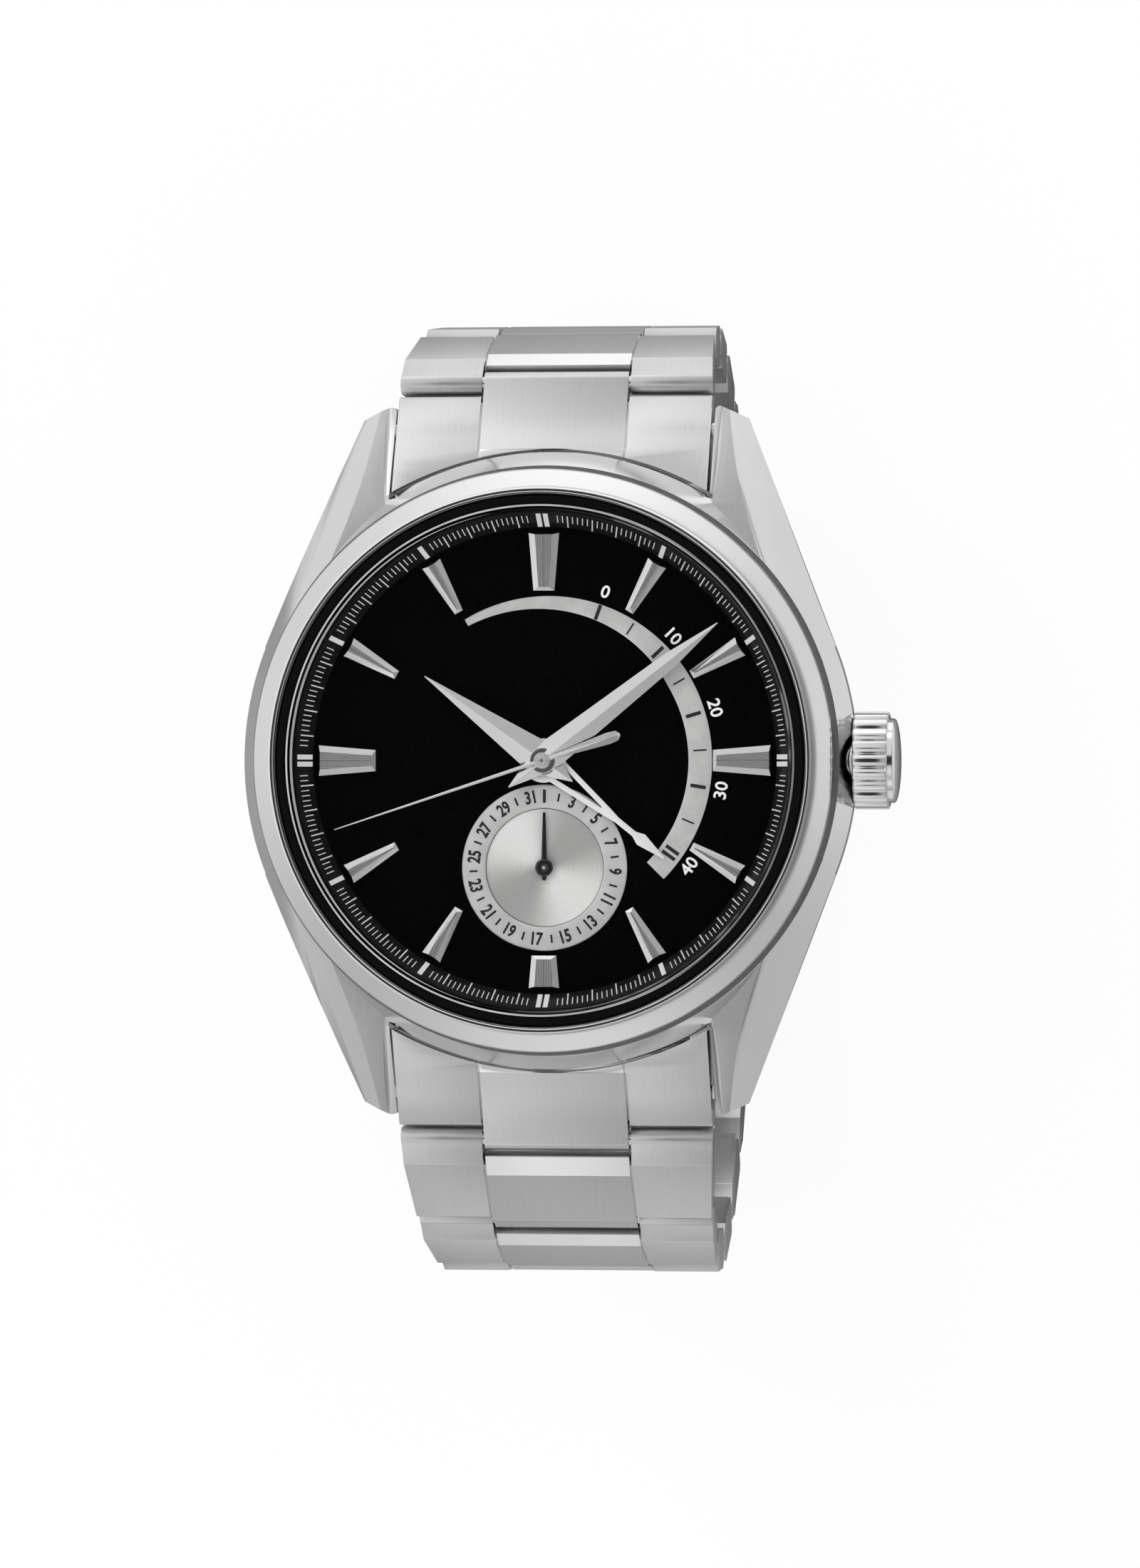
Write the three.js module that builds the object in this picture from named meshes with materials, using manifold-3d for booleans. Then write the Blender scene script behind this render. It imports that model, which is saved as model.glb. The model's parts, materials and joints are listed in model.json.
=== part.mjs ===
// A steel wristwatch with a three-row bracelet and a folding clasp. Lengths are in millimetres.
// The dial faces +Z, twelve o'clock is toward +Y and the crown is on +X.
// The watch stands on its closed clasp. The origin is on the clasp's flat underside, below the dial's axis.
import * as THREE from "three";
import { mergeVertices } from "three/addons/utils/BufferGeometryUtils.js";
import Module from "manifold-3d";

const wasm = await Module();
wasm.setup();

const degree = Math.PI / 180;
const half = 0.5;
const mergeDistance = 1e-5;

// Roundness of turned pieces, as numbers of sides
const ringSides = 40;
const discSides = 24;
const pinSides = 10;
const noseSteps = 5;

// Clearances between pieces, and the overrun of every cut
const seatGap = 0.05;
const turningGap = 0.08;
const seamGap = 0.1;
const hingeGap = 0.3;
const overrun = 2;
const cutterSize = 30;

// Radii of the case middle and bezel, from the widest circle inward
const caseRadius = 21.05;
const caseLowEdgeInset = 1.3;
const shoulderInset = 1.05;
const bezelInset = 0.3;
const bezelWidth = 1.6;
const bezelLipWidth = 0.3;
const skirtInset = 0.15;
const caseWall = 1.1;
const bezelSeatRadius = caseRadius - shoulderInset;
const bezelRadius = bezelSeatRadius - bezelInset;
const bezelInner = bezelRadius - bezelWidth;
const bezelSkirt = bezelInner + skirtInset;
const collarRadius = bezelSkirt - seatGap;
const boreRadius = collarRadius - caseWall;

// Crystal, the black ring round it, chapter ring and dial, each inside the one before
const shelfInset = 0.1;
const gasketInset = 0.25;
const gasketWall = 0.55;
const crystalChamfer = 0.35;
const crystalDomeSteps = 4;
const chapterWidth = 1.15;
const chapterLipWidth = 0.25;
const chapterFoot = 0.25;
const dialFit = 0.2;
const shelfInner = boreRadius - shelfInset;
const gasketOuter = bezelInner - gasketInset;
const crystalRadius = gasketOuter - gasketWall - seatGap;
const chapterOuter = shelfInner - seatGap;
const chapterTopInner = chapterOuter - chapterLipWidth;
const chapterInner = chapterOuter - chapterWidth;
const dialRadius = boreRadius - dialFit;

// Case back: radii, and heights over its outer plane, which is the zero of every height in the head
const backEdge = 0.7;
const backFlange = 1.35;
const backNeckInset = 0.1;
const backNeckTop = 2.8;
const backLipWidth = 1.6;
const backLipThickness = 0.4;
const backGlassInset = 2.8;
const backGlassThickness = 1.25;
const backGasketInset = 0.4;
const backGasketTop = 2.05;
const backRadius = collarRadius;
const backNeckRadius = boreRadius - backNeckInset;
const backGlassSeat = backRadius - backGlassInset;
const backLipRadius = backGlassSeat - backLipWidth;
const backGlassRadius = backGlassSeat - seamGap;
const backGasketOuter = backRadius - backGasketInset;
const backGlassBottom = backLipThickness + seatGap;
const backGlassTop = backGlassBottom + backGlassThickness;

// Heights of the movement, stacked from the case back to the dial
const rotorWeightDepth = 1.35;
const rotorPlateThickness = 0.5;
const rotorGap = 0.25;
const bridgeThickness = 1.2;
const barrelThickness = 1.2;
const wheelThickness = 0.5;
const wheelGap = 0.15;
const plateThickness = 1.8;
const dialThickness = 0.4;
const rotorTop = backGlassTop + hingeGap + rotorWeightDepth;
const bridgeTop = rotorTop + rotorGap + bridgeThickness;
const wheelTop = bridgeTop + rotorGap + barrelThickness;
const plateBottom = wheelTop + wheelGap;
const plateTop = plateBottom + plateThickness;
const dialTop = plateTop + seamGap + dialThickness;

// Heights of the case, bezel and crystal
const dialRise = 0.3;
const shoulderHeight = 2.1;
const caseLowEdgeHeight = 0.95;
const collarHeight = 1;
const shelfThickness = 1;
const bezelSide = 2.6;
const bezelSlope = 1.25;
const gasketSink = 0.25;
const crystalRise = 0.05;
const crystalDome = 0.6;
const caseTop = dialTop - dialRise;
const flankTop = caseTop - shoulderHeight;
const caseBottom = backFlange + seamGap;
const bezelShoulder = caseTop + bezelSide;
const bezelTop = bezelShoulder + bezelSlope;
const gasketTop = bezelTop - gasketSink;
const crystalEdgeTop = bezelTop + crystalRise;
const crystalTop = crystalEdgeTop + crystalDome;

// Lugs: the gap sets the bracelet's width, and the length is how far they reach past the case
const lugGap = 22;
const lugLength = 3.35;
const lugTipSlant = 1;
const lugTipWidth = 2.35;
const lugTipTop = 2.6;
const lugTipBottom = 0.4;
const lugBow = 0.45;
const lugRootInset = 1.5;
const lugFallInset = 7.5;
const lugBottomInset = 4.5;
const ridgeLength = 8.4;
const ridgeSpread = 1.85;
const flankTipWidth = 0.75;
const flankSpread = 1.6;
const flankDrop = 2.6;
const lugReach = caseRadius + lugLength;
const lugTipX = lugGap * half + lugTipWidth;
const lugTipY = lugReach - lugTipSlant;
const lugRoot = caseRadius - lugRootInset;
const lugFallStart = caseRadius - lugFallInset;
const lugBottomStart = caseRadius - lugBottomInset;
const ridgeX = lugTipX + ridgeSpread;
const ridgeY = lugTipY - ridgeLength;
const flankX = ridgeX + flankSpread;

// Sub-dial of the date, as shares of the dial's radius, and its hand's post
const dateAxisShare = 0.429;
const datePlateShare = 0.2367;
const datePlateSink = 0.12;
const dateWheelShare = 0.19;
const dateWheelThickness = 0.35;
const datePostRadius = 0.3;
const dateAxisY = -dialRadius * dateAxisShare;
const datePlateRadius = dialRadius * datePlateShare;

// Applied hour markers: length, and width at the inner and the outer end
const markerGap = 0.4;
const markerHeight = 0.55;
const markerOuter = chapterInner - markerGap;
const markerWide = { length: 3.9, innerWidth: 1.43, outerWidth: 2.07 };
const markerShort = { length: 2.2, innerWidth: 1.43, outerWidth: 2.07 };
const markerNarrow = { length: 3.8, innerWidth: 0.6, outerWidth: 1.4 };
const hourCount = 12;

// Scale of the power reserve: it widens from its start to the angle at which it has its full width
const arcStartAngle = -29.7;
const arcEndAngle = 134.6;
const arcFullAngle = 60;
const arcWidth = 1.6;
const arcOuterRise = 0.4;
const arcInnerRise = 0.7;
const arcSink = 0.1;
const arcSteps = 22;
const arcOuter = markerOuter - markerWide.length - seamGap;
const arcInner = arcOuter - arcWidth;
const arcOuterStart = arcOuter - arcOuterRise;
const arcInnerStart = arcInner + arcInnerRise;

// Pipes of the hands, one round the other, from the seconds hand's post outward
const secondsPostRadius = 0.2;
const pipeGap = 0.1;
const pipeWall = 0.22;
const dialHoleGap = 0.19;
const hubRim = 0.3;
const pipeAround = (radius) => ({ inner: radius + pipeGap, outer: radius + pipeGap + pipeWall });
const minutePipe = pipeAround(secondsPostRadius);
const hourPipe = pipeAround(minutePipe.outer);
const reservePipe = pipeAround(hourPipe.outer);
const hubRadius = hourPipe.outer + hubRim;
const dialHole = reservePipe.outer + dialHoleGap;

// Hands: planes over the dial, and for each hand how far it falls short of the ring that it points to
const handThickness = 0.16;
const handStep = 0.35;
const dateLift = 0.15;
const reserveLevel = dialTop + handStep;
const hourLevel = reserveLevel + handStep;
const minuteLevel = hourLevel + handStep;
const secondsLevel = minuteLevel + handStep;
const dateLevel = dialTop + dateLift;
const hourHand = { short: 5.87, tail: 2.7, half: 1.0, wideAt: 2.3, tailHalf: 0.75, level: hourLevel };
const minuteHand = { short: 0.7, tail: 3.2, half: 0.85, wideAt: 2.6, tailHalf: 0.7, level: minuteLevel };
const secondsHand = { short: 0.9, tail: 5.6, half: 0.16, paddleHalf: 0.48, paddleLength: 2.9, tipHalf: 0.08 };
const reserveHand = { short: 0.9, forkHalf: 0.85, barWidth: 0.24, tipHalf: 0.36 };
const reserveForkShare = 0.562;
const reserveTipShare = 0.21;
const dateHand = { short: 0.25, tail: 0.9, half: 0.22, tipHalf: 0.08 };
const hourAngle = 305.2;
const minuteAngle = 52;
const secondsAngle = 251.7;
const reserveAngle = 128.9;
const dateAngle = 0;
const secondsHubRadius = 0.67;
const secondsHubHeight = 0.28;
const dateHubRadius = 0.6;

// Movement: radii, and places of the wheels as shares of the main plate's radius
const spacerFit = 0.15;
const spacerWall = 2.75;
const spacerLift = 0.2;
const spacerOuter = boreRadius - spacerFit;
const plateRadius = spacerOuter - spacerWall;
const bridgeEdgeShare = 0.352;
const bridgeLegShare = 0.9155;
const bridgeLegRadius = 0.9;
const barrelPlaceShares = [-0.521, 0.204];
const barrelRadiusShare = 0.366;
const secondsWheelRadiusShare = 0.183;
const pinionRadius = 0.45;
const thirdWheelRatio = 8;
const thirdWheelAngle = 62;
const balancePlaceShares = [0.211, -0.535];
const balanceRadiusShare = 0.282;
const cockHalfWidthShare = 0.134;
const cockReachShare = 0.113;
const arborRadius = 0.35;
const balanceRim = 0.6;
const balanceSpoke = 0.7;
const balanceThickness = 0.7;
const balanceDrop = 0.35;
const cockThickness = 0.9;
const rotorInset = 0.6;
const rotorWeightWidth = 2.4;
const rotorHubRadius = 2.4;
const rotorBearingRadius = 1.1;
const rotorRadius = plateRadius - rotorInset;
const rotorWeightInner = rotorRadius - rotorWeightWidth;

// Crown, stem and tube
const stemDrop = 0.55;
const crownRadius = 3.25;
const crownStandOff = 0.2;
const crownLength = 2.05;
const crownDome = 0.8;
const crownDomeSteps = 3;
const crownFluteCount = 20;
const crownFluteDepth = 0.22;
const crownCavityDepth = 1.5;
const crownRingLength = 0.5;
const crownRingRoom = 0.55;
const tubeRadius = 1.4;
const tubeStartGap = 0.3;
const tubeOverlap = 1.1;
const stemRadius = 0.5;
const stemInside = 3.4;
const crownAxisZ = wheelTop - stemDrop;
const crownStart = caseRadius + crownStandOff;
const crownEnd = crownStart + crownLength;
const crownCavityRadius = tubeRadius + crownRingRoom;
const tubeBore = stemRadius + seamGap;
const tubeStart = boreRadius + tubeStartGap;
const tubeEnd = crownStart + tubeOverlap;
const stemStart = plateRadius - stemInside;

// End links, spring bars and the bracelet's links
const endLinkGap = 0.2;
const sideSeam = 0.12;
const seamDepth = 0.25;
const rowWidth = 10;
const linkPitch = 8;
const linkHalf = 1.45;
const noseRadius = 0.8;
const linkSlope = 1.9;
const claspNarrowing = 4;
const claspWidth = lugGap - claspNarrowing;
const taperLinkCount = 5;
const pinRadius = 0.5;
const barInset = 1.7;
const barLift = 1.2;
const barRadius = 0.75;
const barTipRadius = 0.45;
const barTipLength = 0.9;
const pivotReach = 3.25;
const endLinkFloor = lugTipBottom;
const barY = lugReach - barInset;
const barZ = lugTipBottom + barLift;
const pivotY = barY + pivotReach;
const pivotZ = endLinkFloor + noseRadius;

// Rest shape of the bracelet: angles in degrees below the dial's plane, from the head to the clasp
const upperCount = 6;
const upperFirstAngle = 70;
const upperLastAngle = 134;
const upperQuickeningShare = 0.9;
const lowerCount = 7;
const lowerFirstAngle = 45;
const lowerQuickeningShare = 0.863;
const lowerLeastAngle = 90;
const lowerMostAngle = 200;
const solveSteps = 50;

// Clasp, with heights measured from its underside
const coverPlate = 0.9;
const coverWall = 0.9;
const coverEndInset = 0.7;
const coverEndRise = 0.35;
const foldInset = 2.6;
const foldLift = 0.55;
const turnInset = 3;
const turnDrop = 0.25;
const bladeSideRoom = 2.5;
const bladeThickness = 1.05;
const bladeRise = 0.55;
const bladeArmWidth = 1.6;
const claspPivotLift = 1.4;
const knuckleHalf = 2.6;
const wallDropNear = 0.6;
const wallDropFar = 0.9;
const barHoleCount = 3;
const barHolePitch = 1.9;
const middleBladeZ = coverPlate + hingeGap;
const foldZ = middleBladeZ + foldLift;
const innerBladeZ = middleBladeZ + bladeThickness + bladeRise;
const turnZ = innerBladeZ - turnDrop;
const claspPivotZ = innerBladeZ + claspPivotLift;

// Push buttons in the cover's walls
const buttonInset = 5.6;
const buttonDrop = 0.6;
const buttonLength = 3.6;
const buttonHeight = 1.5;
const buttonProud = 0.85;
const buttonFlange = 0.5;
const buttonFlangeWall = 0.7;
const buttonCatch = 0.4;
const buttonZ = claspPivotZ - buttonDrop;

const steel = { color: 0xc8cacc, metalness: 1, roughness: 0.22 };
const brushedSteel = { color: 0xbfc1c3, metalness: 1, roughness: 0.38 };
const material = {
  polished: new THREE.MeshStandardMaterial(steel),
  brushed: new THREE.MeshStandardMaterial(brushedSteel),
  glass: new THREE.MeshStandardMaterial({ color: 0xeef3f5, metalness: 0, roughness: 0.03, opacity: 0.2,
    transparent: true }),
  rubber: new THREE.MeshStandardMaterial({ color: 0x0c0c0d, metalness: 0, roughness: 0.6 }),
  black: new THREE.MeshStandardMaterial({ color: 0x0a0a0b, metalness: 0, roughness: 0.15 }),
  frosted: new THREE.MeshStandardMaterial({ color: 0xb4b6b8, metalness: 1, roughness: 0.55 }),
  brass: new THREE.MeshStandardMaterial({ color: 0xc9a765, metalness: 1, roughness: 0.3 }),
  plated: new THREE.MeshStandardMaterial({ color: 0xd6d3cc, metalness: 1, roughness: 0.3 }),
  spacer: new THREE.MeshStandardMaterial({ color: 0xd9d6cf, metalness: 0, roughness: 0.5 }),
};

// Makes a solid that can be joined and cut from a closed geometry, with its faces pointing out.
function solid(geometry) {
  const bare = geometry.clone();
  bare.deleteAttribute("normal");
  bare.deleteAttribute("uv");
  const merged = mergeVertices(bare, mergeDistance);
  const points = new Float32Array(merged.attributes.position.array);
  const corner = ["a", "b", "c"].map(() => new THREE.Vector3());
  const triangles = [];
  let volume = 0;
  for (let first = 0; first < merged.index.count; first += corner.length) {
    const ids = corner.map((_, k) => merged.index.getX(first + k));
    if (new Set(ids).size < corner.length) continue;
    corner.forEach((vector, k) => vector.fromArray(points, ids[k] * corner.length));
    volume += corner[0].dot(corner[1].clone().cross(corner[2]));
    triangles.push(ids);
  }
  const facing = volume < 0 ? triangles.map((ids) => ids.slice().reverse()) : triangles;
  const triVerts = new Uint32Array(facing.flat());
  return new wasm.Manifold(new wasm.Mesh({ numProp: corner.length, vertProperties: points, triVerts }));
}

function geometryOf(body) {
  const { vertProperties, triVerts } = body.getMesh();
  const geometry = new THREE.BufferGeometry();
  geometry.setAttribute("position", new THREE.BufferAttribute(vertProperties, 3));
  geometry.setIndex(new THREE.BufferAttribute(triVerts, 1));
  geometry.computeVertexNormals();
  return geometry;
}

function joined(bodies) {
  return bodies.reduce((whole, body) => whole.add(body));
}

function cut(body, tools) {
  return tools.reduce((left, tool) => left.subtract(tool), body);
}

function transformed(body, matrix) {
  return solid(geometryOf(body).applyMatrix4(matrix));
}

function shifted(body, x, y) {
  return transformed(body, new THREE.Matrix4().makeTranslation(x, y, 0));
}

function spun(body, clockwise) {
  return transformed(body, new THREE.Matrix4().makeRotationZ(-clockwise * degree));
}

function outline(points, holes = []) {
  const shape = new THREE.Shape(points.map(([x, y]) => new THREE.Vector2(x, y)));
  holes.forEach((hole) => shape.holes.push(new THREE.Path(hole.map(([x, y]) => new THREE.Vector2(x, y)))));
  return shape;
}

// A flat outline in X and Y raised from one height to another.
function upright(points, bottom, top, holes = []) {
  const geometry = new THREE.ExtrudeGeometry(outline(points, holes), { depth: top - bottom, bevelEnabled: false });
  return solid(geometry.translate(0, 0, bottom));
}

// A side view in Y and Z carried along X.
function across(points, from, to) {
  const geometry = new THREE.ExtrudeGeometry(outline(points), { depth: to - from, bevelEnabled: false });
  const basis = new THREE.Matrix4().makeBasis(
    new THREE.Vector3(0, 1, 0), new THREE.Vector3(0, 0, 1), new THREE.Vector3(1, 0, 0));
  return solid(geometry.translate(0, 0, from).applyMatrix4(basis));
}

// A closed profile of radius and height turned about the Z axis.
function turned(profile, sides = ringSides) {
  const points = [...profile, profile[0]].map(([radius, height]) => new THREE.Vector2(radius, height));
  return solid(new THREE.LatheGeometry(points, sides).rotateX(Math.PI * half));
}

function disc(radius, bottom, top, sides = discSides) {
  return turned([[0, bottom], [radius, bottom], [radius, top], [0, top]], sides);
}

function ring(inner, outer, bottom, top, sides = ringSides) {
  return turned([[inner, bottom], [outer, bottom], [outer, top], [inner, top]], sides);
}

// A round bar along X.
function barAlongX(radius, from, to, y, z, sides = pinSides) {
  const geometry = new THREE.CylinderGeometry(radius, radius, to - from, sides).rotateZ(Math.PI * half);
  return solid(geometry.translate((from + to) * half, y, z));
}

function block(from, to) {
  const size = from.map((value, k) => to[k] - value);
  const middle = from.map((value, k) => (value + to[k]) * half);
  return solid(new THREE.BoxGeometry(...size).translate(...middle));
}

function rectangle(left, right, low, high) {
  return [[left, low], [right, low], [right, high], [left, high]];
}

// Points on an arc, with angles in degrees counted anticlockwise from the first axis.
function arc(radius, from, to, steps, centre = [0, 0]) {
  return Array.from({ length: steps + 1 }, (_, k) => {
    const angle = (from + (to - from) * k / steps) * degree;
    return [centre[0] + radius * Math.cos(angle), centre[1] + radius * Math.sin(angle)];
  });
}

const watch = new THREE.Group();
const head = new THREE.Group();
watch.add(head);

function place(parent, name, body, look, position = [0, 0, 0], clockwise = 0) {
  const mesh = new THREE.Mesh(geometryOf(body), look);
  mesh.name = name;
  mesh.position.set(...position);
  mesh.rotation.z = -clockwise * degree;
  parent.add(mesh);
  return mesh;
}

// Height of a lug's top, which falls along a shallow bow to the tip.
function lugTopAt(y) {
  const share = (y - lugFallStart) / (lugReach - lugFallStart);
  return caseTop + (lugTipTop - caseTop) * share + lugBow * Math.sin(Math.PI * share);
}

function lugOutline() {
  const tipDistance = Math.hypot(lugTipX, lugTipY);
  const tangent = Math.atan2(lugTipY, lugTipX) / degree - Math.acos(caseRadius / tipDistance) / degree;
  const right = arc(caseRadius, -tangent, tangent, noseSteps);
  const gapHalf = lugGap * half;
  const rootY = Math.sqrt(lugRoot ** 2 - gapHalf ** 2);
  const upperRight = [[lugTipX, lugTipY], [gapHalf, lugReach], [gapHalf, rootY]];
  const upperLeft = upperRight.map(([x, y]) => [-x, y]).reverse();
  const left = right.map(([x, y]) => [-x, -y]);
  const lowerLeft = upperRight.map(([x, y]) => [-x, -y]);
  const lowerRight = upperLeft.map(([x, y]) => [-x, -y]);
  return [...right, ...upperRight, ...upperLeft, ...left, ...lowerLeft, ...lowerRight];
}

function lugSideView() {
  const steps = Array.from({ length: noseSteps + 1 }, (_, k) => {
    return lugFallStart + (lugReach + overrun - lugFallStart) * k / noseSteps;
  });
  const top = steps.map((y) => [y, lugTopAt(y)]);
  const slope = (lugTipBottom - caseBottom) / (lugReach - lugBottomStart);
  const bottomEnd = [lugReach + overrun, lugTipBottom + slope * overrun];
  const bottom = [bottomEnd, [lugBottomStart, caseBottom]];
  const positive = [...bottom.reverse(), ...top.reverse()];
  const negative = positive.map(([y, z]) => [-y, z]).reverse();
  return [...positive, ...negative];
}

// A large block whose face lies on the plane through three points, on the side that the normal points to.
function planeCutter(a, b, c) {
  const u = new THREE.Vector3().subVectors(b, a).normalize();
  const normal = new THREE.Vector3().subVectors(c, a).cross(u).normalize();
  if (normal.x < 0) normal.negate();
  const v = new THREE.Vector3().crossVectors(normal, u);
  const geometry = new THREE.BoxGeometry(cutterSize, cutterSize, cutterSize);
  geometry.translate(0, 0, cutterSize * half);
  geometry.applyMatrix4(new THREE.Matrix4().makeBasis(u, v, normal).setPosition(a));
  return geometry;
}

function flankCutters() {
  const tip = new THREE.Vector3(lugTipX - flankTipWidth, lugTipY, lugTopAt(lugTipY));
  const ridge = new THREE.Vector3(ridgeX, ridgeY, lugTopAt(ridgeY));
  const flank = new THREE.Vector3(flankX, ridgeY, caseTop - flankDrop);
  const cutter = planeCutter(tip, ridge, flank);
  return [[1, 1], [1, -1], [-1, 1], [-1, -1]].map(([x, y]) => solid(cutter.clone().scale(x, y, 1)));
}

function makeCase() {
  const body = turned([
    [backGasketOuter + seatGap, caseBottom], [caseRadius - caseLowEdgeInset, caseBottom],
    [caseRadius, caseBottom + caseLowEdgeHeight], [caseRadius, flankTop], [bezelSeatRadius, caseTop],
    [collarRadius, caseTop], [collarRadius, caseTop + collarHeight], [boreRadius, caseTop + collarHeight],
    [boreRadius, backGasketTop + seatGap], [backGasketOuter + seatGap, backGasketTop + seatGap],
  ]);
  const lugs = upright(lugOutline(), -overrun, caseTop)
    .intersect(across(lugSideView(), -cutterSize, cutterSize))
    .subtract(disc(lugRoot, -overrun, caseTop + overrun, ringSides));
  const faceted = cut(lugs, flankCutters());
  const barHoles = [1, -1].map((side) => {
    const end = lugGap * half + barTipLength + hingeGap;
    return barAlongX(barTipRadius + turningGap, -end, end, side * barY, barZ);
  });
  const crownHole = barAlongX(tubeRadius + seatGap, boreRadius - overrun, caseRadius + overrun, 0, crownAxisZ,
    discSides);
  place(head, "case_middle", cut(joined([body, faceted]), [...barHoles, crownHole]), material.polished);
}

function makeBezelAndCrystal() {
  const skirtTop = caseTop + collarHeight + seamGap;
  const shelfTop = skirtTop + shelfThickness;
  const bottom = caseTop + seamGap;
  place(head, "bezel", turned([
    [shelfInner, skirtTop], [bezelSkirt, skirtTop], [bezelSkirt, bottom], [bezelRadius, bottom],
    [bezelRadius, bezelShoulder], [bezelInner + bezelLipWidth, bezelTop], [bezelInner, bezelTop],
    [gasketOuter + seatGap, gasketTop], [gasketOuter + seatGap, shelfTop], [shelfInner, shelfTop],
  ]), material.polished);
  const gasketInner = crystalRadius + seatGap;
  place(head, "crystal_gasket", ring(gasketInner, gasketOuter, shelfTop + seatGap, gasketTop), material.rubber);
  const crystalBottom = shelfTop + seatGap;
  const edge = crystalEdgeTop - crystalChamfer;
  const dome = Array.from({ length: crystalDomeSteps + 1 }, (_, k) => {
    const share = 1 - k / crystalDomeSteps;
    const radius = (crystalRadius - crystalChamfer) * share;
    return [radius, crystalTop - crystalDome * share ** 2];
  });
  place(head, "crystal", turned([[0, crystalBottom], [crystalRadius, crystalBottom], [crystalRadius, edge],
    ...dome]), material.glass);
  const dialSeat = dialTop + seatGap;
  place(head, "chapter_ring", turned([
    [chapterInner, dialSeat], [chapterOuter, dialSeat], [chapterOuter, shelfTop],
    [chapterTopInner, shelfTop], [chapterInner, dialSeat + chapterFoot],
  ]), material.black);
}

// A band between two radii that may change along it, with angles clockwise from twelve.
function reserveBand(grow) {
  const at = (radiusAt, k) => {
    const angle = arcStartAngle + (arcEndAngle - arcStartAngle) * k / arcSteps;
    const share = Math.min(1, (angle - arcStartAngle) / (arcFullAngle - arcStartAngle));
    const radius = radiusAt(share);
    return [radius * Math.sin(angle * degree), radius * Math.cos(angle * degree)];
  };
  const steps = Array.from({ length: arcSteps + 1 }, (_, k) => k);
  const outer = steps.map((k) => at((share) => arcOuterStart + (arcOuter - arcOuterStart) * share + grow, k));
  const inner = steps.map((k) => at((share) => arcInnerStart + (arcInner - arcInnerStart) * share - grow, k));
  return [...outer, ...inner.reverse()];
}

function markerFor(hour) {
  if (hour === 6) return markerShort;
  return hour % 3 === 0 ? markerWide : markerNarrow;
}

function makeDial() {
  const bottom = dialTop - dialThickness;
  const markers = Array.from({ length: hourCount }, (_, hour) => {
    const shape = markerFor(hour);
    const inner = markerOuter - shape.length;
    const points = [[-shape.innerWidth * half, inner], [shape.innerWidth * half, inner],
      [shape.outerWidth * half, markerOuter], [-shape.outerWidth * half, markerOuter]];
    const body = upright(points, dialTop - dialThickness * half, dialTop + markerHeight);
    return spun(body, hour * 360 / hourCount);
  });
  const plate = cut(disc(dialRadius, bottom, dialTop, ringSides), [
    disc(dialHole, bottom - overrun, dialTop + overrun),
    shifted(disc(datePlateRadius + seatGap, bottom - overrun, dialTop + overrun), 0, dateAxisY),
    upright(reserveBand(seatGap), bottom - overrun, dialTop + overrun),
  ]);
  place(head, "dial", joined([plate, ...markers]), material.black);
  const datePlate = ring(datePostRadius + pipeGap, datePlateRadius, bottom, dialTop - datePlateSink, discSides);
  place(head, "date_plate", datePlate, material.frosted, [0, dateAxisY, 0]);
  place(head, "reserve_scale", upright(reserveBand(0), bottom, dialTop - arcSink), material.frosted);
}

// A pipe that carries a hand, from inside the main plate up to the hand.
function pipe(size, top) {
  return ring(size.inner, size.outer, wheelTop + plateThickness * half, top, discSides * half);
}

function bladeHand(hand, tube) {
  const top = hand.level + handThickness;
  const points = [[0, chapterInner - hand.short], [hand.half, hand.wideAt], [tube.outer, 0],
    [hand.tailHalf, -hand.tail], [-hand.tailHalf, -hand.tail], [-tube.outer, 0], [-hand.half, hand.wideAt]];
  const blade = joined([upright(points, hand.level, top), disc(hubRadius, hand.level, top)]);
  const bored = blade.subtract(disc((tube.inner + tube.outer) * half, hand.level - overrun, top + overrun));
  return joined([bored, pipe(tube, top)]);
}

function makeHands() {
  place(head, "hour_hand", bladeHand(hourHand, hourPipe), material.polished, [0, 0, 0], hourAngle);
  place(head, "minute_hand", bladeHand(minuteHand, minutePipe), material.polished, [0, 0, 0], minuteAngle);
  const top = secondsLevel + handThickness;
  const sweep = secondsHand;
  const reach = chapterInner - sweep.short;
  const neck = sweep.paddleLength - sweep.tail;
  const needle = upright([
    [0, reach], [sweep.tipHalf, reach - sweep.paddleHalf], [sweep.half, 0],
    [sweep.half, neck], [sweep.paddleHalf, sweep.paddleHalf - sweep.tail],
    [0, -sweep.tail], [-sweep.paddleHalf, sweep.paddleHalf - sweep.tail],
    [-sweep.half, neck], [-sweep.half, 0], [-sweep.tipHalf, reach - sweep.paddleHalf],
  ], secondsLevel, top);
  const hub = disc(secondsHubRadius, secondsLevel, secondsLevel + secondsHubHeight);
  const post = disc(secondsPostRadius, wheelTop - wheelThickness * half, top, pinSides);
  place(head, "seconds_hand", joined([needle, hub, post]), material.polished, [0, 0, 0], secondsAngle);
  makeReserveHand();
  const dateTop = dateLevel + handThickness;
  const dateReach = datePlateRadius - dateHand.short;
  const pointer = upright([[0, dateReach], [dateHand.tipHalf, dateReach - dateHand.half],
    [dateHand.half, 0], [dateHand.half, -dateHand.tail], [-dateHand.half, -dateHand.tail],
    [-dateHand.half, 0], [-dateHand.tipHalf, dateReach - dateHand.half]], dateLevel, dateTop);
  const datePost = disc(datePostRadius, wheelTop + plateThickness * half, dateTop, pinSides);
  const dateBody = joined([pointer, disc(dateHubRadius, dateLevel, dateTop), datePost]);
  place(head, "date_hand", dateBody, material.black, [0, dateAxisY, 0], dateAngle);
}

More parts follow.
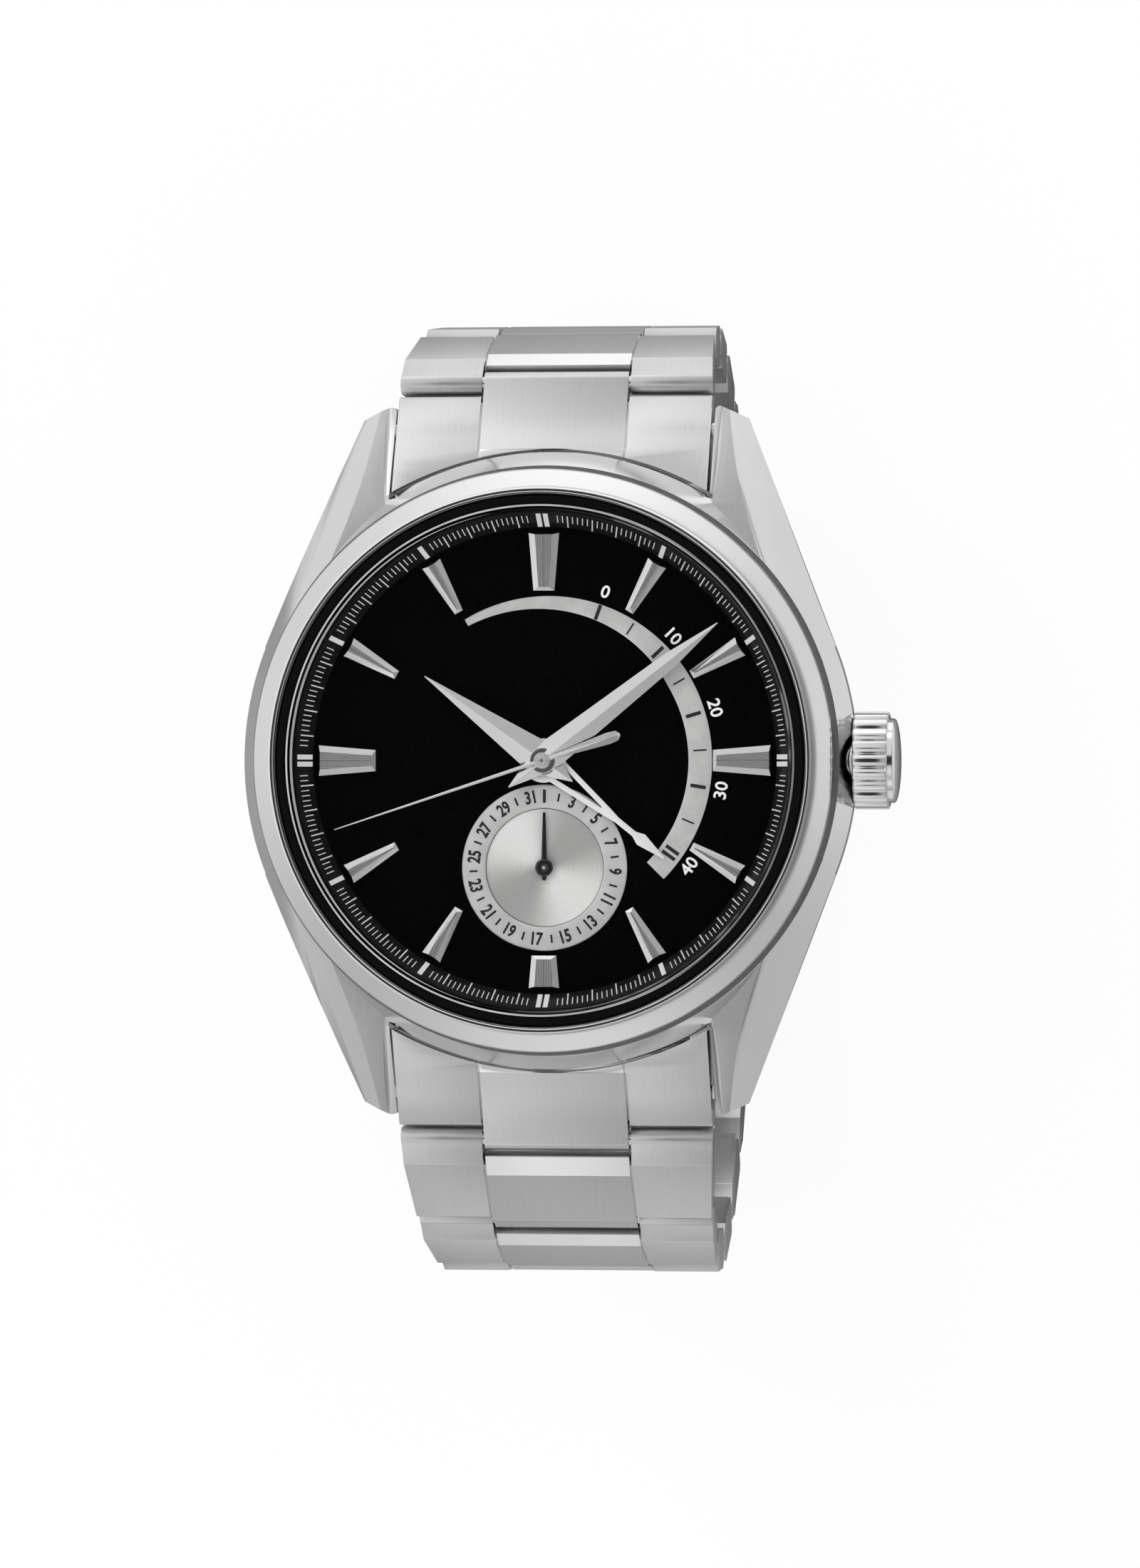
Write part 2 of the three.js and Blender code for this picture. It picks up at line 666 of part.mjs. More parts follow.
function makeReserveHand() {
  const top = reserveLevel + handThickness;
  const shape = reserveHand;
  const reach = arcOuter - shape.short;
  const fork = reach * reserveForkShare;
  const tipStart = reach * (1 - reserveTipShare);
  const tipMiddle = (reach + tipStart) * half;
  const bar = shape.barWidth;
  const points = [[shape.forkHalf, 0], [bar, fork], [bar * half, tipStart],
    [shape.tipHalf, tipMiddle], [0, reach], [-shape.tipHalf, tipMiddle],
    [-bar * half, tipStart], [-bar, fork], [-shape.forkHalf, 0]];
  const windowTop = fork - bar - bar;
  const windowHalf = shape.forkHalf - bar;
  const window = upright([[windowHalf, reservePipe.outer], [0, windowTop], [-windowHalf, reservePipe.outer]],
    reserveLevel - overrun, top + overrun);
  const blade = joined([upright(points, reserveLevel, top).subtract(window),
    disc(reservePipe.outer + bar, reserveLevel, top)]);
  const hole = disc((reservePipe.inner + reservePipe.outer) * half, reserveLevel - overrun, top + overrun);
  const body = joined([blade.subtract(hole), pipe(reservePipe, top)]);
  place(head, "reserve_hand", body, material.polished, [0, 0, 0], reserveAngle);
}

// A place on the movement from shares of the main plate's radius.
function onPlate(shares) {
  return shares.map((share) => plateRadius * share);
}

function bore(radius, [x, y]) {
  return shifted(disc(radius + turningGap, -overrun, cutterSize, pinSides), x, y);
}

function makeMovement() {
  const dateWheelRadius = dialRadius * dateWheelShare;
  const dateWheelBottom = plateTop - seamGap - dateWheelThickness;
  const pocket = disc(dateWheelRadius + hingeGap, dateWheelBottom - seamGap, plateTop + overrun);
  const plate = cut(disc(plateRadius, plateBottom, plateTop, ringSides), [
    disc(reservePipe.outer + turningGap, plateBottom - overrun, plateTop + overrun),
    bore(datePostRadius, [0, dateAxisY]),
    shifted(pocket, 0, dateAxisY),
  ]);
  place(head, "main_plate", plate, material.plated);
  const dateWheel = ring(datePostRadius + seatGap, dateWheelRadius, dateWheelBottom, plateTop - seamGap,
    discSides);
  place(head, "date_wheel", dateWheel, material.brass, [0, dateAxisY, 0]);
  const stemHole = barAlongX(stemRadius + turningGap, plateRadius, spacerOuter + overrun, 0, crownAxisZ);
  const spacer = ring(plateRadius + seatGap, spacerOuter, backNeckTop + spacerLift, plateTop)
    .subtract(stemHole);
  place(head, "movement_spacer", spacer, material.spacer);

  const barrelAt = onPlate(barrelPlaceShares);
  const thirdRadius = pinionRadius * thirdWheelRatio;
  const thirdDistance = pinionRadius + seatGap + thirdRadius;
  const thirdTurn = thirdWheelAngle * degree;
  const thirdAt = [thirdDistance * Math.cos(thirdTurn), thirdDistance * Math.sin(thirdTurn)];
  const bridgeEdgeY = -plateRadius * bridgeEdgeShare;
  const bridgeSide = Math.sqrt(plateRadius ** 2 - bridgeEdgeY ** 2);
  const edgeAngle = Math.atan2(bridgeEdgeY, bridgeSide) / degree;
  const bridgeOutline = arc(plateRadius, edgeAngle, 180 - edgeAngle, discSides * half);
  const bridgeBody = upright(bridgeOutline, bridgeTop - bridgeThickness, bridgeTop);
  const legReach = plateRadius * bridgeLegShare * Math.SQRT1_2;
  const legs = [-1, 1].map((side) => {
    const leg = disc(bridgeLegRadius, bridgeTop - bridgeThickness * half, plateBottom - seatGap);
    return shifted(leg, side * legReach, legReach);
  });
  const bridge = cut(joined([bridgeBody, ...legs]), [bore(arborRadius, barrelAt), bore(arborRadius, thirdAt)]);
  place(head, "train_bridge", bridge, material.plated);

  makeWheel("barrel", plateRadius * barrelRadiusShare, barrelThickness, barrelAt);
  makeWheel("third_wheel", thirdRadius, wheelThickness, thirdAt);
  const secondsTop = wheelTop - wheelThickness - seatGap;
  const secondsInner = secondsPostRadius + seatGap;
  const secondsWheel = ring(secondsInner, plateRadius * secondsWheelRadiusShare, secondsTop - wheelThickness,
    secondsTop, discSides);
  const pinion = ring(secondsInner, pinionRadius, secondsTop - wheelThickness, wheelTop, discSides);
  place(head, "seconds_wheel", joined([secondsWheel, pinion]), material.brass);
  makeBalance();
  makeRotor();
}

function makeWheel(name, radius, thickness, [x, y]) {
  const body = joined([disc(radius, wheelTop - thickness, wheelTop),
    disc(arborRadius, bridgeTop - bridgeThickness * half, wheelTop, pinSides)]);
  place(head, name, body, material.brass, [x, y, 0]);
}

function makeBalance() {
  const [x, y] = onPlate(balancePlaceShares);
  const radius = plateRadius * balanceRadiusShare;
  const top = wheelTop - balanceDrop;
  const bottom = top - balanceThickness;
  const rim = ring(radius - balanceRim, radius, bottom, top, discSides);
  const spokeHalf = balanceSpoke * half;
  const spokeReach = radius - balanceRim * half;
  const spoke = block([-spokeReach, -spokeHalf, bottom], [spokeReach, spokeHalf, top]);
  const staff = disc(arborRadius, bridgeTop - cockThickness * half, top, pinSides);
  place(head, "balance_wheel", joined([rim, spoke, staff]), material.brass, [x, y, 0]);

  const distance = Math.hypot(x, y);
  const halfWidth = plateRadius * cockHalfWidthShare;
  const cockBottom = bridgeTop - cockThickness;
  const end = plateRadius - seatGap;
  const inner = distance - plateRadius * cockReachShare;
  const foot = distance + radius + hingeGap;
  const arm = block([inner, -halfWidth, cockBottom], [end, halfWidth, bridgeTop]);
  const leg = block([foot, -halfWidth, cockBottom], [end, halfWidth, plateBottom - seatGap]);
  const outward = Math.atan2(y, x) / degree;
  const cock = spun(joined([arm, leg]), -outward).intersect(disc(end, 0, cutterSize, ringSides))
    .subtract(bore(arborRadius, [x, y]));
  place(head, "balance_cock", cock, material.plated);
}

function makeRotor() {
  const weightBottom = rotorTop - rotorWeightDepth;
  const weight = upright([...arc(rotorRadius, 180, 360, discSides * half),
    ...arc(rotorWeightInner, 360, 180, discSides * half)], weightBottom, rotorTop);
  const web = upright(arc(rotorWeightInner + seatGap, 180, 360, discSides * half),
    rotorTop - rotorPlateThickness, rotorTop);
  const hub = disc(rotorHubRadius, rotorTop - rotorPlateThickness, rotorTop);
  const bearingHole = disc(rotorBearingRadius + turningGap, 0, cutterSize);
  place(head, "rotor", joined([weight, web, hub]).subtract(bearingHole), material.plated);
  const studTop = bridgeTop - bridgeThickness - seatGap;
  const capTop = rotorTop - rotorPlateThickness - turningGap;
  const cap = disc(rotorBearingRadius + arborRadius, weightBottom + turningGap, capTop);
  const stud = disc(rotorBearingRadius, weightBottom + turningGap, studTop);
  place(head, "rotor_bearing", joined([stud, cap]), material.polished);
}

function makeCaseBack() {
  const neck = backNeckRadius;
  place(head, "case_back_ring", turned([
    [backLipRadius, 0], [backRadius - backEdge, 0], [backRadius, backEdge], [backRadius, backFlange],
    [neck, backFlange], [neck, backNeckTop], [backGlassSeat, backNeckTop], [backGlassSeat, backLipThickness],
    [backLipRadius, backLipThickness],
  ]), material.polished);
  place(head, "case_back_glass", disc(backGlassRadius, backGlassBottom, backGlassTop, ringSides), material.glass);
  place(head, "case_back_gasket", ring(boreRadius, backGasketOuter, backFlange + seatGap, backGasketTop),
    material.rubber);
}

// Turns a body made about Z so that its axis lies along X, with its top outward.
function alongX(body) {
  return transformed(body, new THREE.Matrix4().makeRotationY(Math.PI * half));
}

function makeCrown() {
  const flutes = Array.from({ length: crownFluteCount * 2 }, (_, k) => {
    const angle = k * Math.PI / crownFluteCount;
    const radius = k % 2 === 0 ? crownRadius : crownRadius - crownFluteDepth;
    return [radius * Math.cos(angle), radius * Math.sin(angle)];
  });
  const grip = upright(flutes, crownStart, crownEnd);
  const capRadius = crownRadius - crownFluteDepth * 2;
  const dome = Array.from({ length: crownDomeSteps + 1 }, (_, k) => {
    const share = k / crownDomeSteps;
    return [capRadius * Math.cos(share * Math.PI * half), crownEnd + crownDome * Math.sin(share * Math.PI * half)];
  });
  const cap = turned([[0, crownEnd - crownDome], [capRadius, crownEnd - crownDome], ...dome.slice(0, -1),
    [0, crownEnd + crownDome]], discSides);
  const cavity = disc(crownCavityRadius, crownStart - overrun, crownStart + crownCavityDepth);
  place(head, "crown", alongX(joined([grip, cap]).subtract(cavity)), material.polished, [0, 0, crownAxisZ]);
  const stemEnd = crownStart + crownCavityDepth - seatGap;
  place(head, "stem", barAlongX(stemRadius, stemStart, stemEnd, 0, 0), material.polished, [0, 0, crownAxisZ]);
  place(head, "crown_tube", alongX(ring(tubeBore, tubeRadius, tubeStart, tubeEnd, discSides)),
    material.polished, [0, 0, crownAxisZ]);
  const sealInner = tubeRadius + turningGap;
  const sealOuter = crownCavityRadius - turningGap;
  place(head, "crown_seal", alongX(ring(sealInner, sealOuter, crownStart + crownRingLength * half,
    crownStart + crownRingLength * half + crownRingLength, discSides)), material.rubber, [0, 0, crownAxisZ]);
}

// Side view of a link's end: a nose around a pivot, and slopes up to the link's full thickness.
function nosePoints(y, z, facing) {
  return arc(noseRadius, -90, 90, noseSteps).map(([a, b]) => [y + facing * a, z + b]);
}

// Half width of the bracelet at a number of pitches from the head.
function halfWidthAt(pitches) {
  const share = Math.min(1, pitches / taperLinkCount);
  return (lugGap * half - endLinkGap) * (1 - share) + claspWidth * half * share;
}

function makeEndLink(name, clockwise, barName) {
  const width = halfWidthAt(0);
  const sideEnd = pivotY - noseRadius - hingeGap;
  const noseTop = pivotZ + noseRadius;
  const bottomStart = [lugRoot, endLinkFloor];
  const topStart = [lugRoot, lugTopAt(lugRoot)];
  const topMiddle = [barY, lugTopAt(barY)];
  const centre = across([bottomStart, ...nosePoints(pivotY, pivotZ, 1), topMiddle, topStart],
    -rowWidth * half, rowWidth * half);
  const share = (sideEnd - barY) / (pivotY - barY);
  const sideTop = lugTopAt(barY) + (noseTop - lugTopAt(barY)) * share;
  const sideView = [bottomStart, [sideEnd, endLinkFloor], [sideEnd, sideTop], topMiddle, topStart];
  const seamInner = rowWidth * half + sideSeam;
  const sides = [1, -1].map((side) => {
    return across(sideView, Math.min(side * seamInner, side * width), Math.max(side * seamInner, side * width));
  });
  const sunk = sideView.map(([y, z]) => [Math.min(y, sideEnd - hingeGap), z === endLinkFloor ? z + seamDepth :
    z - seamDepth]);
  const web = across(sunk, -seamInner - sideSeam, seamInner + sideSeam);
  const body = cut(joined([centre, web, ...sides]), [
    disc(caseRadius + hingeGap, -overrun, caseTop + overrun, ringSides),
    barAlongX(barRadius + turningGap, -lugGap, lugGap, barY, barZ),
    barAlongX(pinRadius + turningGap, -lugGap, lugGap, pivotY, pivotZ),
  ]);
  place(head, name, body, material.brushed, [0, 0, 0], clockwise);
  const barEnd = width;
  const bar = joined([barAlongX(barRadius, -barEnd, barEnd, barY, barZ),
    barAlongX(barTipRadius, -barEnd - barTipLength, barEnd + barTipLength, barY, barZ)]);
  place(head, barName, bar, material.polished, [0, 0, 0], clockwise);
}

// One link in its own frame: its pivot is at the origin, the next pivot is a pitch away along +Y,
// and +Z faces away from the wrist.
function linkBody(pitchesFromHead) {
  const earStart = linkSlope - noseRadius;
  const earEnd = linkPitch - noseRadius - hingeGap;
  const rowStart = noseRadius + hingeGap;
  const ear = [...nosePoints(0, 0, -1), [earStart, linkHalf], [earEnd - noseRadius * half, linkHalf],
    [earEnd, linkHalf - noseRadius * half], [earEnd, noseRadius * half - linkHalf],
    [earEnd - noseRadius * half, -linkHalf], [earStart, -linkHalf]];
  const rowSlopeEnd = linkPitch - linkSlope + noseRadius;
  const row = [[rowStart, noseRadius * half - linkHalf], [rowStart + noseRadius * half, -linkHalf],
    [rowSlopeEnd, -linkHalf], ...nosePoints(linkPitch, 0, 1), [rowSlopeEnd, linkHalf],
    [rowStart + linkSlope * half, linkHalf], [rowStart, noseRadius]];
  const near = halfWidthAt(pitchesFromHead);
  const far = halfWidthAt(pitchesFromHead + 1);
  const seamInner = rowWidth * half + sideSeam;
  const plan = [[-near, -noseRadius], [near, -noseRadius], [far, earEnd], [-far, earEnd]];
  const ears = [1, -1].map((side) => {
    return across(ear, Math.min(side * seamInner, side * near), Math.max(side * seamInner, side * near))
      .intersect(upright(plan, -cutterSize, cutterSize));
  });
  const centre = across(row, -rowWidth * half, rowWidth * half);
  const webThickness = linkHalf - seamDepth;
  const web = across(rectangle(rowStart + hingeGap, earEnd - hingeGap, -webThickness, webThickness),
    -seamInner - sideSeam, seamInner + sideSeam);
  const pinHole = barAlongX(pinRadius + turningGap, -rowWidth, rowWidth, linkPitch, 0);
  const pin = barAlongX(pinRadius, -seamInner - sideSeam, seamInner + sideSeam, 0, 0);
  return joined([...ears, centre.subtract(pinHole), web, pin]);
}

function restAngles(count, first, last, quickening) {
  return Array.from({ length: count }, (_, k) => first + (last - first) * (k / (count - 1)) ** quickening);
}

function dropOf(angles) {
  return linkPitch * angles.reduce((sum, angle) => sum + Math.sin(angle * degree), 0);
}

function reachOf(angles) {
  return linkPitch * angles.reduce((sum, angle) => sum + Math.cos(angle * degree), 0);
}

const upperAngles = restAngles(upperCount, upperFirstAngle, upperLastAngle, upperQuickeningShare);

// The lower side's last angle is the one at which both sides come down to the clasp at one height.
function lowerSide() {
  let least = lowerLeastAngle;
  let most = lowerMostAngle;
  for (let step = 0; step < solveSteps; step += 1) {
    const middle = (least + most) * half;
    const angles = restAngles(lowerCount, lowerFirstAngle, middle, lowerQuickeningShare);
    if (dropOf(angles) > dropOf(upperAngles)) least = middle;
    else most = middle;
  }
  return restAngles(lowerCount, lowerFirstAngle, least, lowerQuickeningShare);
}

const lowerAngles = lowerSide();
const upperEnd = pivotY + reachOf(upperAngles);
const lowerEnd = -pivotY - reachOf(lowerAngles);
const headHeight = claspPivotZ - pivotZ + dropOf(upperAngles);
head.position.z = headHeight;

function makeSide(names, angles, clockwise) {
  const side = new THREE.Group();
  side.rotation.z = -clockwise * degree;
  side.position.z = headHeight;
  watch.add(side);
  let y = pivotY;
  let z = pivotZ;
  angles.forEach((angle, k) => {
    const link = new THREE.Group();
    link.position.set(0, y, z);
    link.rotation.x = -angle * degree;
    side.add(link);
    place(link, `${names}_${k + 1}`, linkBody(k), material.brushed);
    y += linkPitch * Math.cos(angle * degree);
    z -= linkPitch * Math.sin(angle * degree);
  });
}

function claspWallView() {
  const foldY = lowerEnd - foldInset;
  const wallTop = claspPivotZ + noseRadius;
  return [[foldY - noseRadius, coverEndRise], [foldY, 0], [upperEnd - coverEndInset, 0],
    [upperEnd + noseRadius, coverEndRise], [upperEnd + noseRadius, claspPivotZ],
    ...arc(noseRadius, 0, 90, noseSteps, [upperEnd, claspPivotZ]),
    [lowerEnd + wallDropNear, wallTop], [lowerEnd - wallDropFar, foldZ + noseRadius],
    ...arc(noseRadius, 90, 180, noseSteps, [foldY, foldZ])];
}

function makeClasp() {
  const foldY = lowerEnd - foldInset;
  const turnY = upperEnd - turnInset;
  const outer = claspWidth * half;
  const inner = outer - coverWall;
  const wall = claspWallView();
  const walls = [1, -1].map((side) => {
    return across(wall, Math.min(side * inner, side * outer), Math.max(side * inner, side * outer));
  });
  const plateView = [[foldY - noseRadius, coverEndRise], [foldY, 0], [upperEnd - coverEndInset, 0],
    [upperEnd + noseRadius, coverEndRise], [upperEnd + noseRadius, coverPlate], [foldY - noseRadius, coverPlate]];
  const plate = across(plateView, -outer, outer);
  const barHoles = Array.from({ length: barHoleCount }, (_, k) => {
    return barAlongX(barTipRadius + turningGap, -lugGap, lugGap, upperEnd - k * barHolePitch, claspPivotZ);
  });
  const catchY = lowerEnd + buttonInset;
  const windows = block(
    [-lugGap, catchY - buttonLength * half - turningGap, buttonZ - buttonHeight * half - turningGap],
    [lugGap, catchY + buttonLength * half + turningGap, buttonZ + buttonHeight * half + turningGap]);
  const foldHole = barAlongX(pinRadius + turningGap, -lugGap, lugGap, foldY, foldZ);
  place(watch, "clasp_cover", cut(joined([plate, ...walls]), [...barHoles, windows, foldHole]), material.brushed);
  place(watch, "clasp_cover_pin", barAlongX(pinRadius, -outer, outer, foldY, foldZ), material.polished);

  // The middle blade lies on the cover's plate, and the inner blade lies on the middle one.
  const bladeEnd = inner - bladeSideRoom;
  const middleTop = middleBladeZ + bladeThickness;
  const foldKnuckle = across(arc(noseRadius, 0, 360, pinSides, [foldY, foldZ]).slice(1), -bladeEnd, bladeEnd);
  const middleBlade = across(rectangle(foldY, turnY, middleBladeZ, middleTop), -bladeEnd, bladeEnd);
  const turnKnuckle = arc(noseRadius, 0, 360, pinSides, [turnY, turnZ]).slice(1);
  const roomView = arc(noseRadius + hingeGap, 0, 360, pinSides, [turnY, turnZ]).slice(1);
  const sideRooms = [1, -1].map((side) => {
    const near = side * (knuckleHalf - hingeGap * half);
    return across(roomView, Math.min(near, side * lugGap), Math.max(near, side * lugGap));
  });
  const turnBore = barAlongX(pinRadius + turningGap, -lugGap, lugGap, turnY, turnZ);
  const foldBore = barAlongX(pinRadius + turningGap, -lugGap, lugGap, foldY, foldZ);
  const middle = cut(joined([foldKnuckle, middleBlade]), sideRooms)
    .add(across(turnKnuckle, -knuckleHalf + hingeGap * half, knuckleHalf - hingeGap * half));
  place(watch, "clasp_middle_blade", cut(middle, [turnBore, foldBore]), material.polished);

  const innerTop = innerBladeZ + bladeThickness;
  const innerBlade = across(rectangle(lowerEnd + noseRadius, turnY, innerBladeZ, innerTop), -bladeEnd, bladeEnd);
  const middleRoom = across(roomView, -knuckleHalf - hingeGap * half, knuckleHalf + hingeGap * half);
  const ears = [1, -1].map((side) => {
    const near = side * (knuckleHalf + hingeGap * half);
    return across(turnKnuckle, Math.min(near, side * bladeEnd), Math.max(near, side * bladeEnd));
  });
  // Two arms rise beside the last link's middle row to hold it.
  const armNear = rowWidth * half + sideSeam;
  const armFar = inner - hingeGap;
  const armStart = lowerEnd + noseRadius;
  const armEnd = armStart + bladeArmWidth;
  const armView = [[armStart, innerBladeZ], [armEnd, innerBladeZ], [armEnd, innerTop],
    [lowerEnd, claspPivotZ + noseRadius],
    ...arc(noseRadius, 90, 270, noseSteps, [lowerEnd, claspPivotZ]).slice(1)];
  const arms = [1, -1].map((side) => {
    return across(armView, Math.min(side * armNear, side * armFar), Math.max(side * armNear, side * armFar));
  });
  const beam = across(rectangle(armStart + hingeGap, armEnd, innerBladeZ, innerTop), -armFar, armFar);
  const innerPin = barAlongX(pinRadius, -armNear - sideSeam, armNear + sideSeam, lowerEnd, claspPivotZ);
  const nearRoom = across(arc(noseRadius + hingeGap, 0, 360, pinSides, [lowerEnd, claspPivotZ]).slice(1),
    -armNear, armNear);
  const innerBody = cut(innerBlade, [middleRoom, nearRoom]);
  const innerAll = joined([innerBody, ...ears, ...arms, beam.subtract(nearRoom), innerPin]).subtract(turnBore);
  place(watch, "clasp_inner_blade", innerAll, material.polished);
  place(watch, "clasp_turn_pin", barAlongX(pinRadius, -bladeEnd, bladeEnd, turnY, turnZ), material.polished);

  const barHalf = inner - hingeGap * half;
  place(watch, "clasp_spring_bar", joined([
    barAlongX(pinRadius, -rowWidth * half, rowWidth * half, upperEnd, claspPivotZ),
    barAlongX(barTipRadius, -barHalf, barHalf, upperEnd, claspPivotZ)]), material.polished);
  makeButtons(catchY, inner, outer);
}

function makeButtons(y, inner, outer) {
  const lengthHalf = buttonLength * half;
  const heightHalf = buttonHeight * half;
  [["right", 1], ["left", -1]].forEach(([name, side]) => {
    const cap = block([0, y - lengthHalf, buttonZ - heightHalf],
      [outer + buttonProud, y + lengthHalf, buttonZ + heightHalf]);
    const flangeEnd = inner - seatGap;
    const flangeStart = flangeEnd - buttonFlange;
    const flange = block([flangeStart, y - lengthHalf - buttonFlangeWall, buttonZ - heightHalf],
      [flangeEnd, y + lengthHalf + buttonFlangeWall, buttonZ + heightHalf]);
    const trimmed = cap.subtract(block([-outer, -cutterSize, -overrun],
      [flangeStart - buttonCatch, cutterSize, cutterSize]));
    const body = joined([trimmed, flange]);
    const mirrored = transformed(body, new THREE.Matrix4().makeScale(side, 1, 1));
    place(watch, `clasp_button_${name}`, mirrored, material.polished);
  });
}

makeCase();
makeBezelAndCrystal();
makeDial();
makeHands();
makeMovement();
makeCaseBack();
makeCrown();
makeEndLink("end_link_12", 0, "spring_bar_12");
makeEndLink("end_link_6", 180, "spring_bar_6");
makeSide("link_12", upperAngles, 0);
makeSide("link_6", lowerAngles, 180);
makeClasp();

export default watch;
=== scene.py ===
import json
import math

import bmesh
import bpy
from bpy.props import FloatProperty, FloatVectorProperty, IntProperty, PointerProperty
from mathutils import Matrix, Vector


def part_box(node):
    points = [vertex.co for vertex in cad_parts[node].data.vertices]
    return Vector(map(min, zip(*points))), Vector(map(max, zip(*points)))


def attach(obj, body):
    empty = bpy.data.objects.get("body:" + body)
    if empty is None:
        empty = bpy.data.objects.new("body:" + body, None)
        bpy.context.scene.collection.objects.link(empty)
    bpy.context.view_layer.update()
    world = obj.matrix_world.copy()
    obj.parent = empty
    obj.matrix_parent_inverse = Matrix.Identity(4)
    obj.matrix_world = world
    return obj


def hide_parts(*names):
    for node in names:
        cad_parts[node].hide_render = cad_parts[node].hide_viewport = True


bl_info = {
    "name": "Steel wristwatch",
    "version": (1, 0, 0),
    "blender": (4, 5, 0),
    "location": "3D View > Sidebar > Watch",
    "description": "Dresses the frame of a steel wristwatch with its finished pieces, materials and studio",
    "category": "Object",
}

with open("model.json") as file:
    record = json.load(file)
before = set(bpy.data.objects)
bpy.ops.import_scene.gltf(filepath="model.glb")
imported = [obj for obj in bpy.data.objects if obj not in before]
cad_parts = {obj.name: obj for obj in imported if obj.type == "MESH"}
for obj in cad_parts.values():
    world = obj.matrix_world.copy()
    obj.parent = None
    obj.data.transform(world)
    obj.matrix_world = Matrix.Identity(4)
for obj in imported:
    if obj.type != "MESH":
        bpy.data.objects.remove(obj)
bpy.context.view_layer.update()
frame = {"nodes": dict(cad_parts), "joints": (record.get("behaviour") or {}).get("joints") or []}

# Shapes are worked out in millimetres and brought to metres when a piece is finished.
MM = 0.001
TURN = math.tau
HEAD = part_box("case_back_ring")[0].z / MM
FOUR_CORNERS = [(1, 1), (1, -1), (-1, 1), (-1, -1)]
ALONG_X = Matrix.Rotation(math.radians(90), 4, "Y")


# Materials


class Wire:
    """An output of a material's nodes that can be used in sums like a number."""

    def __init__(self, recipe, node, output=0):
        self.recipe = recipe
        self.node = node
        self.socket = node.outputs[output] if node.outputs else None

    def also(self, output):
        return Wire(self.recipe, self.node, output)

    def maths(self, operation, *values):
        return self.recipe.add("ShaderNodeMath", {"operation": operation}, dict(enumerate(values)))

    def __add__(self, other):
        return self.maths("ADD", self, other)

    def __sub__(self, other):
        return self.maths("SUBTRACT", self, other)

    def __rsub__(self, other):
        return self.maths("SUBTRACT", other, self)

    def __mul__(self, other):
        return self.maths("MULTIPLY", self, other)

    def __truediv__(self, other):
        return self.maths("DIVIDE", self, other)

    def __pow__(self, other):
        return self.maths("POWER", self, other)

    __radd__ = __add__
    __rmul__ = __mul__

    def below(self, limit):
        return self.maths("LESS_THAN", self, limit)

    def size(self):
        return self.maths("ABSOLUTE", self)

    def wave(self):
        return self.maths("SINE", self)

    def most(self, other):
        return self.maths("MAXIMUM", self, other)

    def spread(self, low, high, first=0.0, last=1.0):
        """This value's way from low to high, eased at both ends, as a value from first to last."""
        return self.recipe.add(
            "ShaderNodeMapRange",
            {"interpolation_type": "SMOOTHSTEP"},
            {"Value": self, "From Min": low, "From Max": high, "To Min": first, "To Max": last},
        )


class Recipe:
    """Adds the nodes of one material or of the world."""

    def __init__(self, tree):
        self.tree = tree
        tree.nodes.clear()

    def add(self, kind, settings=None, values=None, output=0):
        node = self.tree.nodes.new(kind)
        for key, value in (settings or {}).items():
            if key == "stops":
                self.set_stops(node.color_ramp, value)
            else:
                setattr(node, key, value)
        for key, value in (values or {}).items():
            if isinstance(value, Wire):
                self.tree.links.new(value.socket, node.inputs[key])
            else:
                node.inputs[key].default_value = value
        return Wire(self, node, output)

    def set_stops(self, ramp, stops):
        while len(ramp.elements) > 1:
            ramp.elements.remove(ramp.elements[-1])
        for number, (place, shade) in enumerate(stops):
            element = ramp.elements[0] if number == 0 else ramp.elements.new(place)
            element.position = place
            element.color = (shade, shade, shade, 1)

    def place(self, scale=(1, 1, 1), centre=(0, 0, 0)):
        """Places on the piece in millimetres from a centre, times a scale."""
        at = self.add("ShaderNodeTexCoord", output="Object")
        location = [-c * s for c, s in zip(centre, scale)]
        mapping = {"Vector": at, "Location": location, "Scale": [s / MM for s in scale]}
        return self.add("ShaderNodeMapping", values=mapping)

    def grain(self, scale, detail=3.0, roughness=0.55):
        """Noise between 0 and 1 with its cycles to the millimetre along X, Y and Z."""
        values = {"Vector": self.place(scale), "Scale": 1.0, "Detail": detail, "Roughness": roughness}
        return self.add("ShaderNodeTexNoise", values=values)

    def blend(self, share, first, second):
        settings = {"data_type": "RGBA", "clamp_factor": True}
        wire = self.add("ShaderNodeMix", settings, {0: share, 6: (*first, 1), 7: (*second, 1)})
        return wire.also(2)

    def bump(self, height, depth, strength=1.0):
        values = {"Height": height, "Distance": depth * MM, "Strength": strength}
        return self.add("ShaderNodeBump", values=values)

    def vector(self, operation, *values, output="Vector"):
        return self.add("ShaderNodeVectorMath", {"operation": operation}, dict(enumerate(values)), output)

    def parts(self, vector):
        """A vector's X, from which also() gives its Y and Z."""
        return self.add("ShaderNodeSeparateXYZ", values={0: vector})

    def shader(self, base_color, **values):
        colour = base_color if isinstance(base_color, Wire) else (*base_color, 1)
        named = {key.replace("_", " ").title().replace("Ior", "IOR"): value for key, value in values.items()}
        return self.add("ShaderNodeBsdfPrincipled", values={"Base Color": colour, **named})

    def finish(self, shader):
        self.add("ShaderNodeOutputMaterial", values={"Surface": shader})


def colours():
    return bpy.context.scene.watch_colours


def sizes():
    return bpy.context.scene.watch_sizes


def look(name, make):
    """The material of this name, made the first time that it is asked for."""
    known = bpy.data.materials.get(name)
    if known:
        return known
    made = bpy.data.materials.new(name)
    made.use_nodes = True
    recipe = Recipe(made.node_tree)
    make(recipe)
    return made


def shade(colour, share):
    return tuple(part * share for part in colour)


